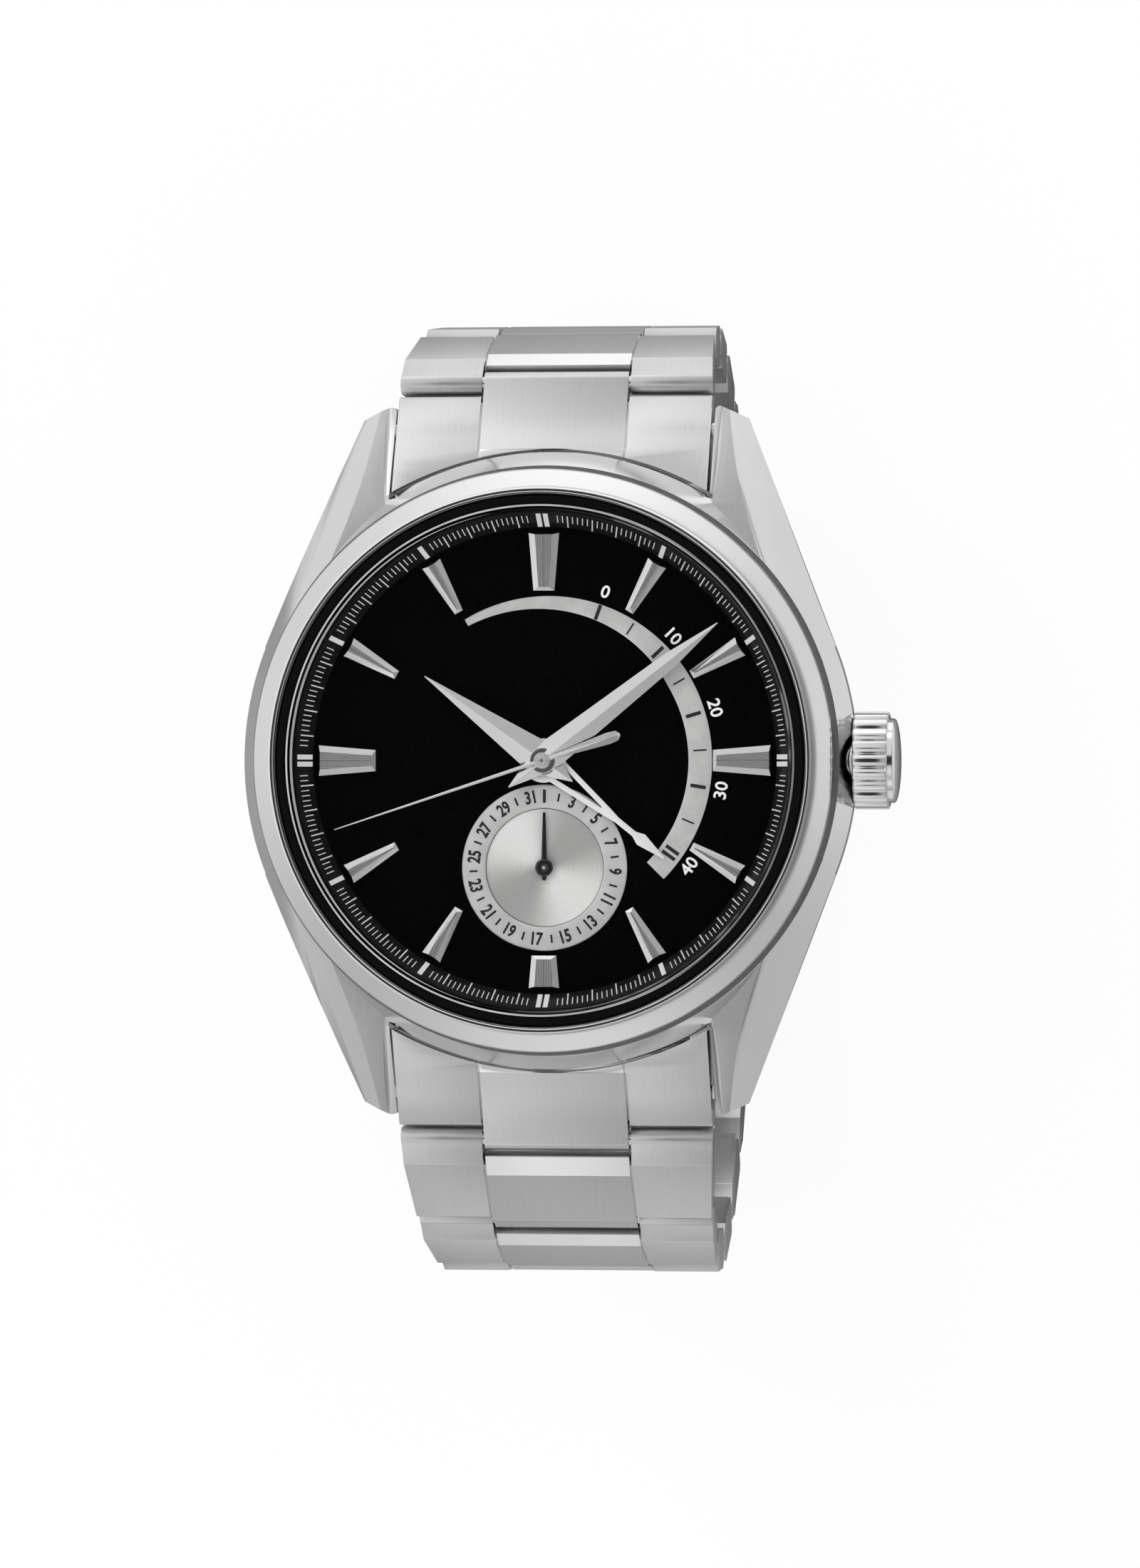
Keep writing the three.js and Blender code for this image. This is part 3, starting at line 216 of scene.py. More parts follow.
def speckled(name, cycles, detail, first, last, roughness, vary=0.0, dent=None, **values):
    """A material whose colour, roughness and dents all follow one even noise."""

    def make(r):
        grain = r.grain((cycles, cycles, cycles), detail)
        rough = roughness + grain * vary if vary else roughness
        bumps = {"normal": r.bump(grain, *dent)} if dent else {}
        r.finish(r.shader(r.blend(grain, first, last), roughness=rough, **bumps, **values))

    return look(name, make)


def polished_steel():
    def make(r):
        steel = tuple(colours().steel)
        cloud = r.grain((0.35, 0.35, 0.35), 2)
        hair = r.grain((3, 14, 9), 2)
        colour = r.blend(cloud, shade(steel, 0.97), shade(steel, 1.03))
        r.finish(r.shader(colour, metallic=1.0, roughness=0.09 + cloud * 0.05 + hair * 0.03))

    return look("polished steel", make)


def brushed_steel(name="brushed steel", tone=0.79):
    def make(r):
        steel = shade(colours().steel, tone)
        coarse = r.grain((11, 0.2, 0.2), 5, 0.65)
        fine = r.grain((26, 0.5, 0.5), 2)
        streak = coarse * 0.5 + fine * 0.5
        colour = r.blend(streak.spread(0.3, 0.7), shade(steel, 0.935), shade(steel, 1.02))
        normal = r.bump(streak, 0.009, 0.22)
        r.finish(r.shader(colour, metallic=1.0, roughness=0.3 + streak * 0.1, normal=normal))

    return look(name, make)


# Brushed steel darkened for the lug tops: a shaded copy of the same steel, painted shade
def brushed_lug():
    return brushed_steel("brushed lug, painted shade", 0.56)


# Brushed steel darkened for the links' centre rows: a shaded copy of the same steel, painted shade
def brushed_row():
    return brushed_steel("brushed row, painted shade", 0.68)


# The case's own steel darkened for the groove between bezel and case: painted shade in the recess
def groove_steel():
    steel = shade(colours().steel, 0.36)
    return speckled("groove steel, painted shade", 1.2, 3, shade(steel, 0.85), shade(steel, 1.1), 0.38, 0.1, metallic=1.0)


def hand_steel():
    steel = shade(colours().steel, 0.97)
    return speckled("hand steel", 0.8, 2, shade(steel, 0.96), steel, 0.17, 0.06, metallic=1.0)


def pale_steel():
    low, high = (0.84, 0.84, 0.835), (0.97, 0.97, 0.965)
    return speckled("pale steel", 18, 3, low, high, 0.34, 0.1, (0.004, 0.3), metallic=0.4)


def circled_steel():
    def make(r):
        steel = tuple(colours().steel)
        radius = r.vector("LENGTH", r.place((1, 1, 0)), output="Value")
        rings = (radius * (TURN / 0.06)).wave()
        cloud = r.grain((2, 2, 2), 2)
        colour = r.blend(rings * 0.25 + cloud * 0.75, shade(steel, 0.88), steel)
        normal = r.bump(rings, 0.004, 0.4)
        r.finish(r.shader(colour, metallic=1.0, roughness=0.36 + cloud * 0.08, normal=normal))

    return look("circled steel", make)


def lined_steel():
    def make(r):
        steel = tuple(colours().steel)
        x = r.parts(r.add("ShaderNodeUVMap", {"uv_map": "across"}))
        lines = (x * (TURN / 0.17)).wave().spread(-0.2, 1.0)
        middle = x.size().below(0.035)
        colour = r.blend(lines.most(middle), shade(steel, 0.9), shade(steel, 0.56))
        normal = r.bump(lines, 0.01, 0.4)
        r.finish(r.shader(colour, metallic=1.0, roughness=0.28 + lines * 0.1, normal=normal))

    return look("lined steel", make)


def lacquer():
    dial = tuple(colours().dial)
    return speckled("black lacquer", 6, 3, dial, shade(dial, 1.6), 0.12, 0.05, specular_ior_level=0.04)


def satin_black():
    low, high = (0.005, 0.005, 0.006), (0.011, 0.011, 0.012)
    return speckled("satin black", 9, 3, low, high, 0.32, 0.12, (0.006, 0.3), specular_ior_level=0.25)


def black_enamel():
    low, high = (0.006, 0.006, 0.008), (0.014, 0.014, 0.016)
    return speckled("black enamel", 4, 2, low, high, 0.2, 0.08, coat_weight=0.5, coat_roughness=0.08)


def rubber():
    low, high = (0.0015, 0.0015, 0.002), (0.004, 0.004, 0.0045)
    return speckled("black rubber", 7, 4, low, high, 0.5, 0.2, (0.01, 0.4), specular_ior_level=0.06)


def white_print():
    return speckled("white print", 12, 3, (0.86, 0.86, 0.85), (0.97, 0.97, 0.96), 0.5, dent=(0.004, 0.3))


def grey_print():
    return speckled("grey print", 12, 3, (0.74, 0.74, 0.73), (0.9, 0.9, 0.89), 0.5, dent=(0.004, 0.3))


def black_print():
    low, high = (0.006, 0.006, 0.007), (0.016, 0.016, 0.018)
    return speckled("black print", 12, 3, low, high, 0.4, 0.1, (0.004, 0.3))


def frosted_silver():
    def make(r):
        silver = tuple(colours().scale)
        blast = r.grain((14, 14, 14), 5, 0.7)
        cloud = r.grain((0.9, 0.9, 0.9), 3)
        tone = blast * 0.5 + cloud * 0.5
        colour = r.blend(tone.spread(0.3, 0.7), shade(silver, 0.88), shade(silver, 1.1))
        normal = r.bump(blast, 0.02, 0.5)
        r.finish(r.shader(colour, metallic=0.55, roughness=0.42 + blast * 0.12, normal=normal))

    return look("frosted silver", make)


def ringed_silver():
    def make(r):
        silver = tuple(colours().scale)
        low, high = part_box("date_plate")
        at_middle = r.place((1, 1, 1), tuple((low + high) / 2 / MM))
        radius = r.vector("LENGTH", r.vector("MULTIPLY", at_middle, (1, 1, 0)), output="Value")
        rings = (radius * (TURN / 0.11)).wave()
        speck = r.grain((10, 10, 10), 3)
        x = r.parts(at_middle)
        # Two bright and two dark quarters in the colour: a painted sheen of the circular grain
        painted_sheen = (x * x.also("Y") * -2 / (radius * radius + 0.02)).spread(-1.0, 1.0)
        colour = r.blend(painted_sheen * 0.85 + speck * 0.15, shade(silver, 0.6), shade(silver, 1.42))
        normal = r.bump(rings + speck * 0.6, 0.012, 0.5)
        r.finish(r.shader(colour, metallic=0.5, roughness=0.34 + speck * 0.1, normal=normal))

    return look("ringed silver", make)


def crystal_clear():
    def make(r):
        slant = r.add("ShaderNodeLayerWeight", values={"Blend": 0.5}, output="Facing")
        smear = r.grain((0.3, 0.3, 0.3), 2)
        clear = slant ** 5 * 0.6 + 0.022
        r.finish(r.shader((1, 1, 1), metallic=1.0, roughness=0.02 + smear * 0.02, alpha=clear))

    return look("crystal", make)


def crystal_edge():
    def make(r):
        cloud = r.grain((0.2, 0.2, 0.2), 2)
        colour = r.blend(cloud.spread(0.5, 0.62), (0.045, 0.046, 0.048), (0.30, 0.305, 0.31))
        r.finish(r.shader(colour, metallic=1.0, roughness=0.1 + cloud * 0.06))

    return look("crystal edge", make)


def crystal_rim():
    low, high = (0.36, 0.365, 0.37), (0.72, 0.73, 0.74)
    return speckled("crystal rim", 0.3, 2, low, high, 0.12, 0.06, metallic=1.0)


def plated_brass():
    def make(r):
        plate = tuple(colours().plating)
        x = r.parts(r.place())
        band = (x + x.also("Y") * 0.6) * (TURN / 2.6)
        stripe = band.wave().spread(-1.0, 1.0)
        fine = r.grain((9, 9, 9), 3)
        colour = r.blend(stripe * 0.7 + fine * 0.3, shade(plate, 0.8), shade(plate, 1.08))
        normal = r.bump(stripe * 2 + fine * 0.2, 0.03, 0.6)
        r.finish(r.shader(colour, metallic=1.0, roughness=0.24 + fine * 0.14, normal=normal))

    return look("plated brass", make)


def grained_plate():
    def make(r):
        plate = tuple(colours().plating)
        fine = r.grain((10, 10, 10), 4)
        cloud = r.grain((0.7, 0.7, 0.7), 2)
        colour = r.blend(fine * 0.4 + cloud * 0.6, shade(plate, 0.74), shade(plate, 1.02))
        normal = r.bump(fine, 0.012, 0.5)
        r.finish(r.shader(colour, metallic=1.0, roughness=0.3 + fine * 0.16, normal=normal))

    return look("grained plate", make)


def gilt_brass():
    brass = tuple(colours().brass)
    low, high = shade(brass, 0.82), shade(brass, 1.08)
    return speckled("gilt brass", 11, 3, low, high, 0.26, 0.12, (0.008, 0.4), metallic=1.0)


def spacer_plastic():
    return speckled("spacer plastic", 5, 3, (0.74, 0.73, 0.70), (0.84, 0.83, 0.80), 0.48, 0.12, (0.02, 0.3))


def ruby():
    low, high = (0.42, 0.01, 0.06), (0.62, 0.03, 0.12)
    return speckled("ruby", 6, 2, low, high, 0.08, 0.04, coat_weight=0.6, coat_roughness=0.03)


# Shapes


def tidy(shape):
    bmesh.ops.remove_doubles(shape, verts=shape.verts, dist=1e-4)
    bmesh.ops.dissolve_degenerate(shape, edges=shape.edges, dist=1e-5)
    bmesh.ops.recalc_face_normals(shape, faces=shape.faces)
    return shape


def turned(profile, steps=160):
    """A profile of radius and height turned about Z. It is closed unless both its ends lie on the axis."""
    shape = bmesh.new()
    points = [shape.verts.new((radius, 0, height)) for radius, height in profile]
    pairs = list(zip(points, points[1:]))
    if profile[0][0] > 0 or profile[-1][0] > 0:
        pairs.append((points[-1], points[0]))
    edges = [shape.edges.new(pair) for pair in pairs]
    bmesh.ops.spin(shape, geom=points + edges, cent=(0, 0, 0), axis=(0, 0, 1), angle=TURN, steps=steps,
                   use_merge=True, use_duplicate=False)
    return tidy(shape)


def tube(inner, outer, low, high, steps):
    """A tube about Z, or a solid cylinder where its inner radius is 0."""
    return turned([(inner, low), (outer, low), (outer, high), (inner, high)], steps)


def new_points(made):
    return [part for part in made["geom"] if isinstance(part, bmesh.types.BMVert)]


def grown(shape, faces, step):
    """Carries some faces along a step, with walls behind them."""
    made = bmesh.ops.extrude_face_region(shape, geom=faces)
    bmesh.ops.translate(shape, vec=step, verts=new_points(made))
    bmesh.ops.recalc_face_normals(shape, faces=shape.faces)
    return shape


def raised(points, low, high):
    """An outline in X and Y raised from one height to another."""
    shape = bmesh.new()
    face = shape.faces.new([shape.verts.new((x, y, low)) for x, y in points])
    return grown(shape, [face], (0, 0, high - low))


def across(points, left, right):
    """A side view in Y and Z carried along X."""
    shape = bmesh.new()
    face = shape.faces.new([shape.verts.new((left, y, z)) for y, z in points])
    return grown(shape, [face], (right - left, 0, 0))


def block(low, high):
    corners = [(low[0], low[1]), (high[0], low[1]), (high[0], high[1]), (low[0], high[1])]
    return raised(corners, low[2], high[2])


def put(shape, matrix):
    bmesh.ops.transform(shape, matrix=matrix, verts=shape.verts)
    if matrix.determinant() < 0:
        bmesh.ops.reverse_faces(shape, faces=shape.faces)
    return shape


def at(x=0.0, y=0.0, z=0.0):
    return Matrix.Translation((x, y, z))


def clockwise(degrees):
    return Matrix.Rotation(math.radians(-degrees), 4, "Z")


def joined(*shapes):
    """One shape from several, which are used up."""
    whole = bmesh.new()
    for shape in shapes:
        mesh = as_mesh("part", shape)
        whole.from_mesh(mesh)
        bpy.data.meshes.remove(mesh)
    return whole


def cut_off(shape, place, facing, look_of=0):
    """Cuts away what lies past a plane, on the side it faces, and closes the cut."""
    geom = shape.verts[:] + shape.edges[:] + shape.faces[:]
    made = bmesh.ops.bisect_plane(shape, geom=geom, dist=1e-5, plane_co=place, plane_no=facing,
                                  clear_outer=True)
    rim = [part for part in made["geom_cut"] if isinstance(part, bmesh.types.BMEdge)]
    for face in bmesh.ops.edgeloop_fill(shape, edges=rim)["faces"]:
        face.material_index = look_of
    bmesh.ops.recalc_face_normals(shape, faces=shape.faces)
    return shape


def open_edges(shape):
    return [e for e in shape.edges if len(e.link_faces) == 1]


def close_holes(shape):
    bmesh.ops.holes_fill(shape, edges=open_edges(shape))
    bmesh.ops.recalc_face_normals(shape, faces=shape.faces)
    return shape


def sharp_edges(shape, least):
    """The edges whose faces turn by more than an angle in degrees."""
    return [e for e in shape.edges if len(e.link_faces) == 2 and e.calc_face_angle(0) > math.radians(least)]


def rounded(shape, edges, width, segments):
    bmesh.ops.bevel(shape, geom=edges, offset=width, offset_type="OFFSET", segments=segments, profile=0.5,
                    affect="EDGES", clamp_overlap=True, material=-1)
    return shape


def softened(shape, width, segments=2, least=25):
    """Rounds the edges that are sharper than an angle in degrees."""
    return rounded(shape, sharp_edges(shape, least), width, segments)


def painted(shape, look_of, wanted=None):
    """Gives one of a piece's materials to all faces, or to those that are wanted, by normal and middle."""
    for face in shape.faces:
        if wanted is None or wanted(face.normal, face.calc_center_median()):
            face.material_index = look_of
    return shape


def from_middle(place):
    """How far a place is from the Z axis."""
    return math.hypot(place.x, place.y)


def refined(node, width, segments=2, least=25):
    """A copy of a frame node's shape with its flat faces made whole and its edges rounded."""
    shape = bmesh.new()
    shape.from_mesh(frame["nodes"][node].data)
    bmesh.ops.scale(shape, vec=(1 / MM, 1 / MM, 1 / MM), verts=shape.verts)
    bmesh.ops.remove_doubles(shape, verts=shape.verts, dist=2e-3)
    bmesh.ops.dissolve_limit(shape, angle_limit=math.radians(1), verts=shape.verts, edges=shape.edges)
    bmesh.ops.recalc_face_normals(shape, faces=shape.faces)
    return softened(painted(shape, 0), width, segments, least)


def shown(name, data):
    """A new object in the scene."""
    obj = bpy.data.objects.new(name, data)
    bpy.context.scene.collection.objects.link(obj)
    return obj


def as_mesh(name, shape):
    """A mesh made from a shape, which is used up."""
    mesh = bpy.data.meshes.new(name)
    shape.to_mesh(mesh)
    shape.free()
    return mesh


def carved(shape, tools, operation="DIFFERENCE"):
    """A shape with tools cut out of it, or added to it. All of them are used up."""
    whole = shown("cut", as_mesh("cut", shape))
    cutters = [shown("cut", as_mesh("cut", tool)) for tool in tools]
    for cutter in cutters:
        step = whole.modifiers.new("cut", "BOOLEAN")
        step.operation = operation
        step.solver = "EXACT"
        step.object = cutter
    bpy.context.view_layer.update()
    done = whole.evaluated_get(bpy.context.evaluated_depsgraph_get())
    result = bmesh.new()
    result.from_mesh(done.data)
    for obj in [whole, *cutters]:
        mesh = obj.data
        bpy.data.objects.remove(obj)
        bpy.data.meshes.remove(mesh)
    return tidy(result)


def arc(radius, first, last, steps, centre=(0, 0)):
    """Points on an arc, with angles in degrees anticlockwise from the first axis."""
    turns = [math.radians(first + (last - first) * k / steps) for k in range(steps + 1)]
    return [(centre[0] + radius * math.cos(t), centre[1] + radius * math.sin(t)) for t in turns]


def bar(matrix, width, span, depth, look_of=0):
    """A thin printed bar."""
    shape = bmesh.new()
    bmesh.ops.create_grid(shape, x_segments=1, y_segments=1, size=0.5)
    grown(shape, shape.faces[:], (0, 0, 1))
    return put(painted(shape, look_of), matrix @ Matrix.Diagonal((width, span, depth, 1)))


def lettered(text, height, width_share=1.0, boldness=0.0, depth=0.02):
    """Numerals of a height in millimetres, centred on the origin and lying in X and Y."""
    words = bpy.data.curves.new("words", "FONT")
    words.body = text
    words.align_x = "CENTER"
    words.align_y = "CENTER"
    words.offset = boldness
    words.resolution_u = 3
    obj = shown("words", words)
    bpy.context.view_layer.update()
    mesh = bpy.data.meshes.new_from_object(obj.evaluated_get(bpy.context.evaluated_depsgraph_get()))
    shape = bmesh.new()
    shape.from_mesh(mesh)
    bpy.data.objects.remove(obj)
    bpy.data.curves.remove(words)
    bpy.data.meshes.remove(mesh)
    tidy(shape)
    low = [min(v.co[k] for v in shape.verts) for k in range(2)]
    high = [max(v.co[k] for v in shape.verts) for k in range(2)]
    scale = height / (high[1] - low[1])
    centred = at(-(low[0] + high[0]) / 2, -(low[1] + high[1]) / 2)
    put(shape, Matrix.Diagonal((scale * width_share, scale, 1, 1)) @ centred)
    return grown(shape, shape.faces[:], (0, 0, depth))


def piece(name, shape, body, looks, replaces=(), lift=0.0, smooth=35, crisp=False):
    """Makes a shape a piece that rides on a body. With crisp, an edge between two looks is hard."""
    shape.edges.index_update()
    hard = [e.index for e in shape.edges if crisp and len({face.material_index for face in e.link_faces}) > 1]
    bmesh.ops.translate(shape, vec=(0, 0, lift), verts=shape.verts)
    bmesh.ops.scale(shape, vec=(MM, MM, MM), verts=shape.verts)
    mesh = as_mesh(name, shape)
    for made in looks:
        mesh.materials.append(made)
    mesh.shade_smooth()
    mesh.set_sharp_from_angle(angle=math.radians(smooth))
    for index in hard:
        mesh.edges[index].use_edge_sharp = True
    obj = shown(name, mesh)
    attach(obj, body)
    if replaces:
        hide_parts(*replaces)
    return obj


def dress(made, *nodes):
    """Gives a material to CAD nodes that keep their own shape."""
    for node in nodes:
        mesh = frame["nodes"][node].data
        mesh.materials.clear()
        mesh.materials.append(made)


# Settings


def length(name, description, millimetres):
    size = millimetres * MM
    return FloatProperty(name=name, description=description, default=size, unit="LENGTH", precision=5)


def paint(name, description, colour):
    limits = {"subtype": "COLOR", "min": 0, "max": 1}
    return FloatVectorProperty(name=name, description=description, default=colour, **limits)


class WatchSizes(bpy.types.PropertyGroup):
    """Sizes that a user may change, all inside the frame's box"""

    case_radius: length("Case radius", "Radius of the round case middle", 21.05)
    bezel_crown: length("Bezel crown", "How far the bezel's slope bulges out of a straight line", 0.1)
    edge_softness: length("Edge softness", "Width of the small rounding on the steel's edges", 0.07)
    print_depth: length("Print thickness", "Thickness of the printed marks", 0.02)
    marker_height: length("Marker height", "Height of the hour markers over the dial", 0.55)
    facet_rise: length("Facet rise", "Height of the ridge along the hands", 0.26)
    numeral_height: length("Numeral height", "Height of the numerals round the power reserve", 0.88)
    date_height: length("Date numeral height", "Height of the numerals of the date ring", 0.9)
    crown_flutes: IntProperty(
        name="Crown flutes", description="Number of ribs round the crown", default=20, min=8
    )


class WatchColours(bpy.types.PropertyGroup):
    """Colours that a user may change"""

    steel: paint("Steel", "Colour of the steel", (0.85, 0.853, 0.85))
    dial: paint("Dial", "Colour of the dial's lacquer", (0.0008, 0.0008, 0.001))
    scale: paint("Scale", "Colour of the silver scale and the date ring", (0.68, 0.68, 0.672))
    plating: paint("Plating", "Colour of the movement's plating", (0.72, 0.70, 0.66))
    brass: paint("Brass", "Colour of the gilt wheels", (0.80, 0.60, 0.30))


# Case, with radii from the middle of the head and heights over the case back

CASE_FOOT = 1.45
CASE_TOP = 8.4
BORE = 17.1
BACK_BORE = 17.85
BACK_SHELF = 2.1
COLLAR = 18.2
COLLAR_TOP = 9.4
SEAT = 20.0
GROOVE_IN = 18.3
LUG_TIP = (13.35, 23.4)
LUG_END = 24.4
LUG_END_FOOT = 0.4
LUG_END_TOP = 2.6
LUG_INNER = 11.0
LUG_FALL = 13.55
LUG_UNDER = 16.55
LUG_BULGE = 0.45
LUG_CORNER = 0.3
LUG_CUTS = 9
LUG_BEVEL = 0.55
LUG_BEVEL_START = 16.5
FLANK_DROP = 2.2
FLANK_CUTS = 14
BEZEL_HOLE = 17.0
BEZEL_RADIUS = 19.7
BEZEL_TOP = 12.25
CROWN_Z = 5.7
CROWN_START = 20.85
CROWN_NOTCH = 3.42
TUBE_HOLE = 1.45
CASE_STEPS = 192


def lug_top(y):
    """The height of a lug's top, which falls in a shallow bow from the bezel to the lug's end."""
    share = (y - LUG_FALL) / (LUG_END - LUG_FALL)
    return CASE_TOP + (LUG_END_TOP - CASE_TOP) * share + LUG_BULGE * math.sin(math.pi * share)


def lug_tangent(radius):
    """The angle at which a lug's side leaves the round case."""
    return math.atan2(LUG_TIP[1], LUG_TIP[0]) - math.acos(radius / math.hypot(*LUG_TIP))


def side_profile(radius):
    """The radius and height of the case's side, from its foot to the bezel's seat."""
    insets = [(1.3, CASE_FOOT), (0.75, 1.85), (0.38, 2.7), (0.1, 4.4), (0.0, 5.6), (0.08, 6.2)]
    return [*[(radius - inset, height) for inset, height in insets], (SEAT, CASE_TOP)]


def lug(radius):
    """The lug right of the 12, cut from a block by its sloping sides, its falling top and its underside."""
    tangent = math.degrees(lug_tangent(radius))
    turn = math.radians(tangent)
    inner = radius - 1.6
    root = math.degrees(math.acos(LUG_INNER / inner))
    corner = arc(LUG_CORNER, 70, 180, 4, (LUG_INNER + LUG_CORNER, LUG_END - 0.42))
    leaving = (radius * math.cos(turn), radius * math.sin(turn))
    shape = raised([leaving, LUG_TIP, *corner, *arc(inner, root, tangent - 4, 10)], -1.0, CASE_TOP)
    out = Vector((math.cos(turn), math.sin(turn), 0))
    side = side_profile(radius)[:5]
    for (first, low), (last, high), reach in zip(side, side[1:], (0.5, 0.3, 0.1, 0.0)):
        start = out * last + Vector((0, 0, high))
        tip = Vector((*LUG_TIP, high - 3.2)) - out * reach
        facing = (tip - start).cross(out * (last - first) + Vector((0, 0, high - low)))
        cut_off(shape, start, facing if facing.x > 0 else -facing)
    steps = [LUG_FALL + (LUG_END + 1 - LUG_FALL) * k / LUG_CUTS for k in range(LUG_CUTS + 1)]
    for first, last in zip(steps, steps[1:]):
        rise = lug_top(last) - lug_top(first)
        # The top's cut faces get look 1, which the case gives the brushed steel darkened as painted shade
        cut_off(shape, (0, first, lug_top(first)), (0, -rise, last - first), 1)
    slope = (LUG_END_FOOT - CASE_FOOT) / (LUG_END - LUG_UNDER)
    cut_off(shape, (0, LUG_UNDER, CASE_FOOT), (0, slope, -1))
    low = Vector((LUG_INNER, LUG_END, lug_top(LUG_END) - LUG_BEVEL))
    high = Vector((LUG_INNER + LUG_BEVEL, LUG_END, lug_top(LUG_END)))
    far = Vector((LUG_INNER + 0.02, LUG_BEVEL_START, lug_top(LUG_BEVEL_START)))
    facing = (high - low).cross(far - low)
    return cut_off(shape, low, facing if facing.z > 0 else -facing)


def flank_planes(radius):
    """Planes that slope the polished flank from the bezel's seat out to a lug's side."""
    tangent = lug_tangent(radius)
    last = math.asin(LUG_FALL / SEAT)
    planes = []
    for step in range(FLANK_CUTS + 1):
        turn = tangent + (last - tangent) * step / FLANK_CUTS
        out = Vector((math.cos(turn), math.sin(turn), 0))
        wide = radius / math.cos(turn - tangent) - SEAT - 0.08
        drop = FLANK_DROP + 0.25 * step / FLANK_CUTS
        planes.append((out * SEAT + Vector((0, 0, CASE_TOP)), out * drop + Vector((0, 0, wide))))
    return planes


class WATCH_OT_case(bpy.types.Operator):
    """Builds the case middle with its four lugs, and the bezel"""

    bl_idname = "watch.case"
    bl_label = "Case and bezel"

    def execute(self, context):
        self.middle(sizes().case_radius / MM, sizes().edge_softness / MM)
        self.bezel(sizes().bezel_crown / MM)
        return {"FINISHED"}

    def middle(self, radius, soft):
        inside = [(COLLAR, CASE_TOP), (COLLAR, COLLAR_TOP), (BORE, COLLAR_TOP), (BORE, BACK_SHELF)]
        profile = [(BACK_BORE, CASE_FOOT), *side_profile(radius), *inside, (BACK_BORE, BACK_SHELF)]
        one = lug(radius)
        lugs = [put(one.copy(), Matrix.Diagonal((x, y, 1, 1))) for x, y in FOUR_CORNERS]
        one.free()
        body = carved(turned(profile, CASE_STEPS), lugs, "UNION")
        for place, facing in flank_planes(radius):
            for x, y in FOUR_CORNERS:
                side = Vector((x, y, 1))
                cut_off(body, place * side, facing * side)
        notch = put(tube(0, CROWN_NOTCH, 0, 4, 96), at(CROWN_START - 0.08, 0, CROWN_Z) @ ALONG_X)
        hole = put(tube(0, TUBE_HOLE, -6, 4, 64), at(CROWN_START, 0, CROWN_Z) @ ALONG_X)
        body = softened(carved(body, [notch, hole]), soft, 2, 30)
        # The seat's flat top in the groove gets the darkened steel, painted shade
        painted(body, 2, lambda normal, place: normal.z > 0.99 and GROOVE_IN < from_middle(place) < SEAT)
        # Looks 1 and 2 are darkened copies of the case's steel, painted shade
        looks = [polished_steel(), brushed_lug(), groove_steel()]
        piece("case_body", body, "case", looks, ["case_middle"], HEAD, 12)

    def bezel(self, bulge):
        low, high = Vector((BEZEL_RADIUS, 10.4)), Vector((18.32, BEZEL_TOP))
        outward = Vector((high.y - low.y, low.x - high.x)).normalized()
        shares = [k / 8 for k in range(9)]
        bulges = [outward * bulge * math.sin(math.pi * share) for share in shares]
        slope = [tuple(low.lerp(high, share) + swell) for share, swell in zip(shares, bulges)]
        foot = [(BEZEL_HOLE, 9.5), (18.25, 9.5), (18.25, 8.45), (19.5, 8.45), (19.5, 8.8),
                (BEZEL_RADIUS, 8.9)]
        mouth = [(18.1, BEZEL_TOP), (17.9, 12.0), (17.9, 10.5), (BEZEL_HOLE, 10.5)]
        shape = softened(turned([*foot, *slope, *mouth], CASE_STEPS), 0.03, 2, 30)
        # The bezel's low wall in the groove gets the darkened steel, painted shade
        painted(shape, 1, lambda normal, place: place.z < 8.84 and from_middle(place) > GROOVE_IN)
        looks = [polished_steel(), groove_steel()]
        piece("bezel_ring", shape, "case", looks, ["bezel"], HEAD)


# Crystal and chapter ring

CRYSTAL_RADIUS = 17.25
CRYSTAL_FOOT = 10.55
CRYSTAL_TOP = 12.9
DOME_RADIUS = 16.9
DOME_HEIGHT = 0.6
DOME_STEPS = 12
SEAL = (17.3, 17.85)
CHAPTER_IN = (15.8, 9.0)
CHAPTER_OUT = (16.7, 10.5)
CHAPTER_WALL = 16.95
CHAPTER_FOOT = 8.75
MARKS = 300
MARKS_AN_HOUR = 25
MARKS_A_QUARTER = 75
TWIN_MARK = 0.24
TRACK_END = 0.84


def on_slope(angle, along):
    """A place on the chapter ring's slope, with the angle clockwise from twelve."""
    tilt = math.atan2(CHAPTER_OUT[1] - CHAPTER_IN[1], CHAPTER_OUT[0] - CHAPTER_IN[0])
    start = at(0, CHAPTER_IN[0], CHAPTER_IN[1])
    return clockwise(angle) @ start @ Matrix.Rotation(tilt, 4, "X") @ at(0, along, 0)


def distance_to(mark, every):
    """How many marks lie between a mark and the nearest of those that repeat."""
    return min(mark % every, -mark % every)


